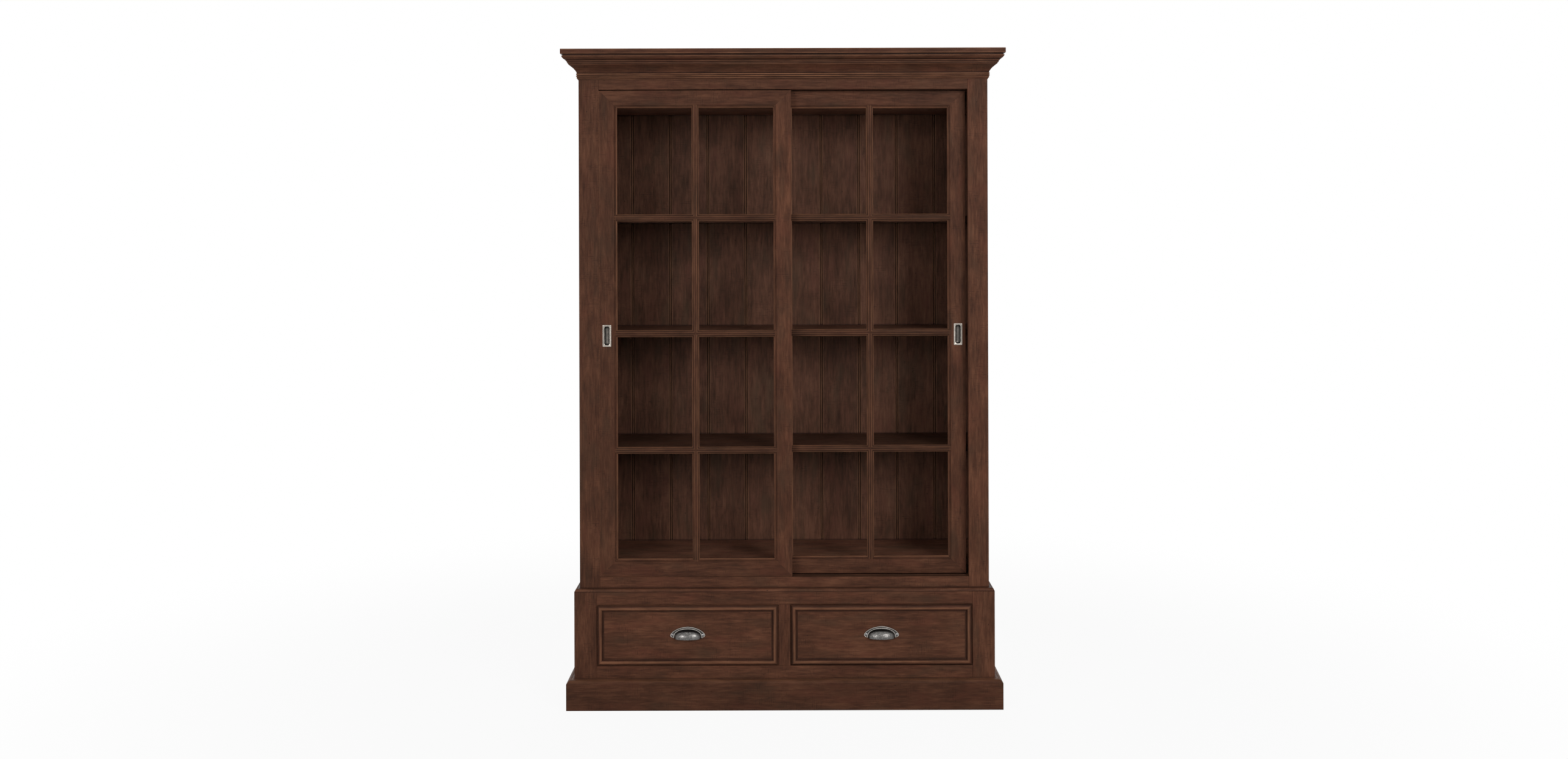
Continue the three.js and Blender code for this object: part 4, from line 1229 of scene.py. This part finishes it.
def make_dome(face_y, middle_x, foot_z, projection):
    """Quarter shell, open below and behind, with a round lip."""
    half_wall = CUP_WALL / 2
    turns = [pi / 2 * row / DOME_ROWS for row in range(DOME_ROWS + 1)]
    outline = [(turn, half_wall) for turn in turns]
    outline += [(turn, -half_wall) for turn in reversed(turns)]
    rings = []
    for x, r in power_arc(1.0, 1.0, CUP_POWER, DOME_SIDES):
        plan = max(1 - abs(x) ** CUP_PLAN_POWER, 0.0) ** (1 / CUP_PLAN_POWER)
        ring = []
        for turn, offset in outline:
            forward = cos(turn) ** DOME_SWELL_POWER
            up = sin(turn) ** DOME_SWELL_POWER
            ring.append((
                middle_x + x * (CUP_WIDTH / 2 - half_wall + offset),
                face_y - plan * forward * (projection - half_wall + offset),
                foot_z + r * up * (CUP_HEIGHT - half_wall + offset),
            ))
        rings.append(ring)
    points = flat(rings)
    # Painted shade, deeper towards the dome's top
    shades = [max(2 * turn / pi - DOME_BRIGHT_SHARE, 0.0) / DOME_FADE_SHARE for turn, _ in outline]
    relief_and_light = [-DOME_TOP_SHADE * min(s, 1.0) ** DOME_FADE_POWER for s in shades] * len(rings)
    faces, _ = loft(rings, False, has_caps=False)
    return points, facing_out(points, faces), relief_and_light


def make_screw_head(face_y, x, z, turn):
    """Round screw head: two half domes beside a slot."""
    halves = []
    for side in (-1, 1):
        rings = []
        for radius_share, rise_share in CUP_SCREW_SHARES:
            reach = CUP_SCREW_RADIUS * radius_share
            end = acos(CUP_SLOT / reach)
            ring = []
            for i in range(CUP_SCREW_STEPS + 1):
                angle = -end + 2 * end * i / CUP_SCREW_STEPS
                across, along = side * reach * cos(angle), reach * sin(angle)
                ring.append((
                    x + across * cos(turn) - along * sin(turn),
                    face_y - CUP_SCREW_HEIGHT * rise_share,
                    z + across * sin(turn) + along * cos(turn),
                ))
            rings.append(ring)
        halves.append(rings)
    return closed_mesh(halves)


def make_cup_pull(drawer, turns):
    """Cup on a moulded flange, fixed with a screw through each ear."""
    node = f"{drawer}_cup_pull"
    low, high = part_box(node)
    middle_x, width, height = (low.x + high.x) / 2, high.x - low.x, high.z - low.z
    flange = make_flange(high.y, middle_x, low.z, width, height)
    dome = make_dome(high.y, middle_x, low.z, high.y - low.y)
    for name, (points, faces, relief_and_light) in (("flange", flange), ("cup", dome)):
        mesh_piece(
            f"{node}_{name}", points, faces, [finishes["pewter"]], drawer, "pewter",
            None, relief_and_light, node,
        )
    seat_y = high.y - CUP_SCREW_SEAT
    for side, end, turn in zip((-1, 1), ("left", "right"), turns):
        screw_x = middle_x + side * CUP_SCREW_SPREAD
        screw = make_screw_head(seat_y, screw_x, low.z + CUP_SCREW_RISE, turn)
        mesh_piece(f"{node}_{end}_screw", *screw, [finishes["steel"]], drawer, "steel")


DRAWER_SCREW_TURNS = {"left_drawer": (0.5, -0.9), "right_drawer": (1.2, 0.2)}


def make_drawers():
    for seed, (drawer, turns) in enumerate(DRAWER_SCREW_TURNS.items(), start=FIRST_DRAWER_SEED):
        make_bead_frame(drawer, seed)
        make_drawer_strip(drawer)
        make_cup_pull(drawer, turns)


# Floor, light and camera


WHITE = (1.0, 1.0, 1.0, 1.0)
DOME_STRENGTH = 0.24
FLOOR_HALF_SIZE = 20.0
FLOOR_TONES = ((0.3, (0.62, 0.62, 0.62, 1.0)), (0.7, (0.64, 0.64, 0.64, 1.0)))
FLOOR_GLOW_SHARE = 0.93
FLOOR_FADE = (1.2, 3.2)


def make_floor():
    """Pale floor that keeps the shadow near the object and turns white further away."""
    f = Finish("floor")
    place = f.place()
    lit = f.node("BsdfDiffuse", {"Color": f.ramp(f.noise(place, (3.0, 3.0, 3.0), 3.0), FLOOR_TONES)})
    glow = f.node("Emission", {"Color": WHITE, "Strength": 1.0})
    distance = f.node("VectorMath", {0: place}, operation="LENGTH").outputs["Value"]
    share = f.step(distance, *FLOOR_FADE, FLOOR_GLOW_SHARE, 1.0)
    shader = f.node("MixShader", {0: f.times(f.background_rays(), share), 1: lit, 2: glow})
    mesh = bpy.data.meshes.new("floor")
    corners = ((-1, -1), (1, -1), (1, 1), (-1, 1))
    points = [(x * FLOOR_HALF_SIZE, y * FLOOR_HALF_SIZE, 0) for x, y in corners]
    mesh.from_pydata(points, [], [(0, 1, 2, 3)])
    mesh.materials.append(f.surface(shader))
    add_object("floor", mesh)


def make_world():
    """White where it is seen, and a soft dome of light for the rest."""
    f = Finish("studio", "worlds")
    strength = f.node("MapRange", {0: f.background_rays(), 3: DOME_STRENGTH, 4: 1.0})
    shader = f.node("Background", {"Color": WHITE, "Strength": strength})
    bpy.context.scene.world = f.surface(shader, "OutputWorld")


LAMPS = (
    # name, place, aimed at, width, height, watts
    ("key", (3.3, -5.8, 3.0), (0.0, 0.0, 1.05), 2.4, 2.4, 205.0),
    ("fill", (-3.6, -6.0, 2.4), (0.0, 0.0, 1.0), 2.4, 2.4, 130.0),
    ("top", (0.0, -1.8, 4.6), (0.0, 0.0, 1.0), 3.0, 1.6, 14.0),
    ("rim", (0.0, 5.5, 3.0), (0.0, 0.0, 1.1), 3.0, 2.4, 110.0),
)


def make_lamps():
    for name, place, target, width, height, watts in LAMPS:
        light = bpy.data.lights.new(name, "AREA")
        light.shape = "RECTANGLE"
        light.size = width
        light.size_y = height
        light.energy = watts
        lamp = add_object(name, light)
        lamp.location = place
        lamp.rotation_euler = (Vector(target) - Vector(place)).to_track_quat("-Z", "Y").to_euler()


SENSOR_WIDTH = 36.0
CAMERA_DISTANCE = 5.0
CAMERA_HEIGHT = 1.5367
CAMERA_SIDE = 0.002
FOCAL_PIXELS = 2528
HORIZON_PIXEL = 384
ROLL = radians(0.175)


def make_camera():
    data = bpy.data.cameras.new("camera")
    data.sensor_width = SENSOR_WIDTH
    data.lens = FOCAL_PIXELS / IMAGE_WIDTH * SENSOR_WIDTH
    data.shift_y = (HORIZON_PIXEL - IMAGE_HEIGHT / 2) / IMAGE_WIDTH
    camera = add_object("camera", data)
    camera.location = (CAMERA_SIDE, front_y - CAMERA_DISTANCE, CAMERA_HEIGHT)
    camera.rotation_euler = (pi / 2, ROLL, 0.0)
    bpy.context.scene.camera = camera


finishes.update(pewter=pewter(), nickel=nickel(), steel=steel(), glass=glass())
make_camera()
make_world()
make_lamps()
make_floor()
make_crown()
make_base_moulding()
make_plinth()
make_boards()
make_back()
make_nails()
make_doors()
make_drawers()

bpy.context.scene.view_settings.view_transform = "Standard"
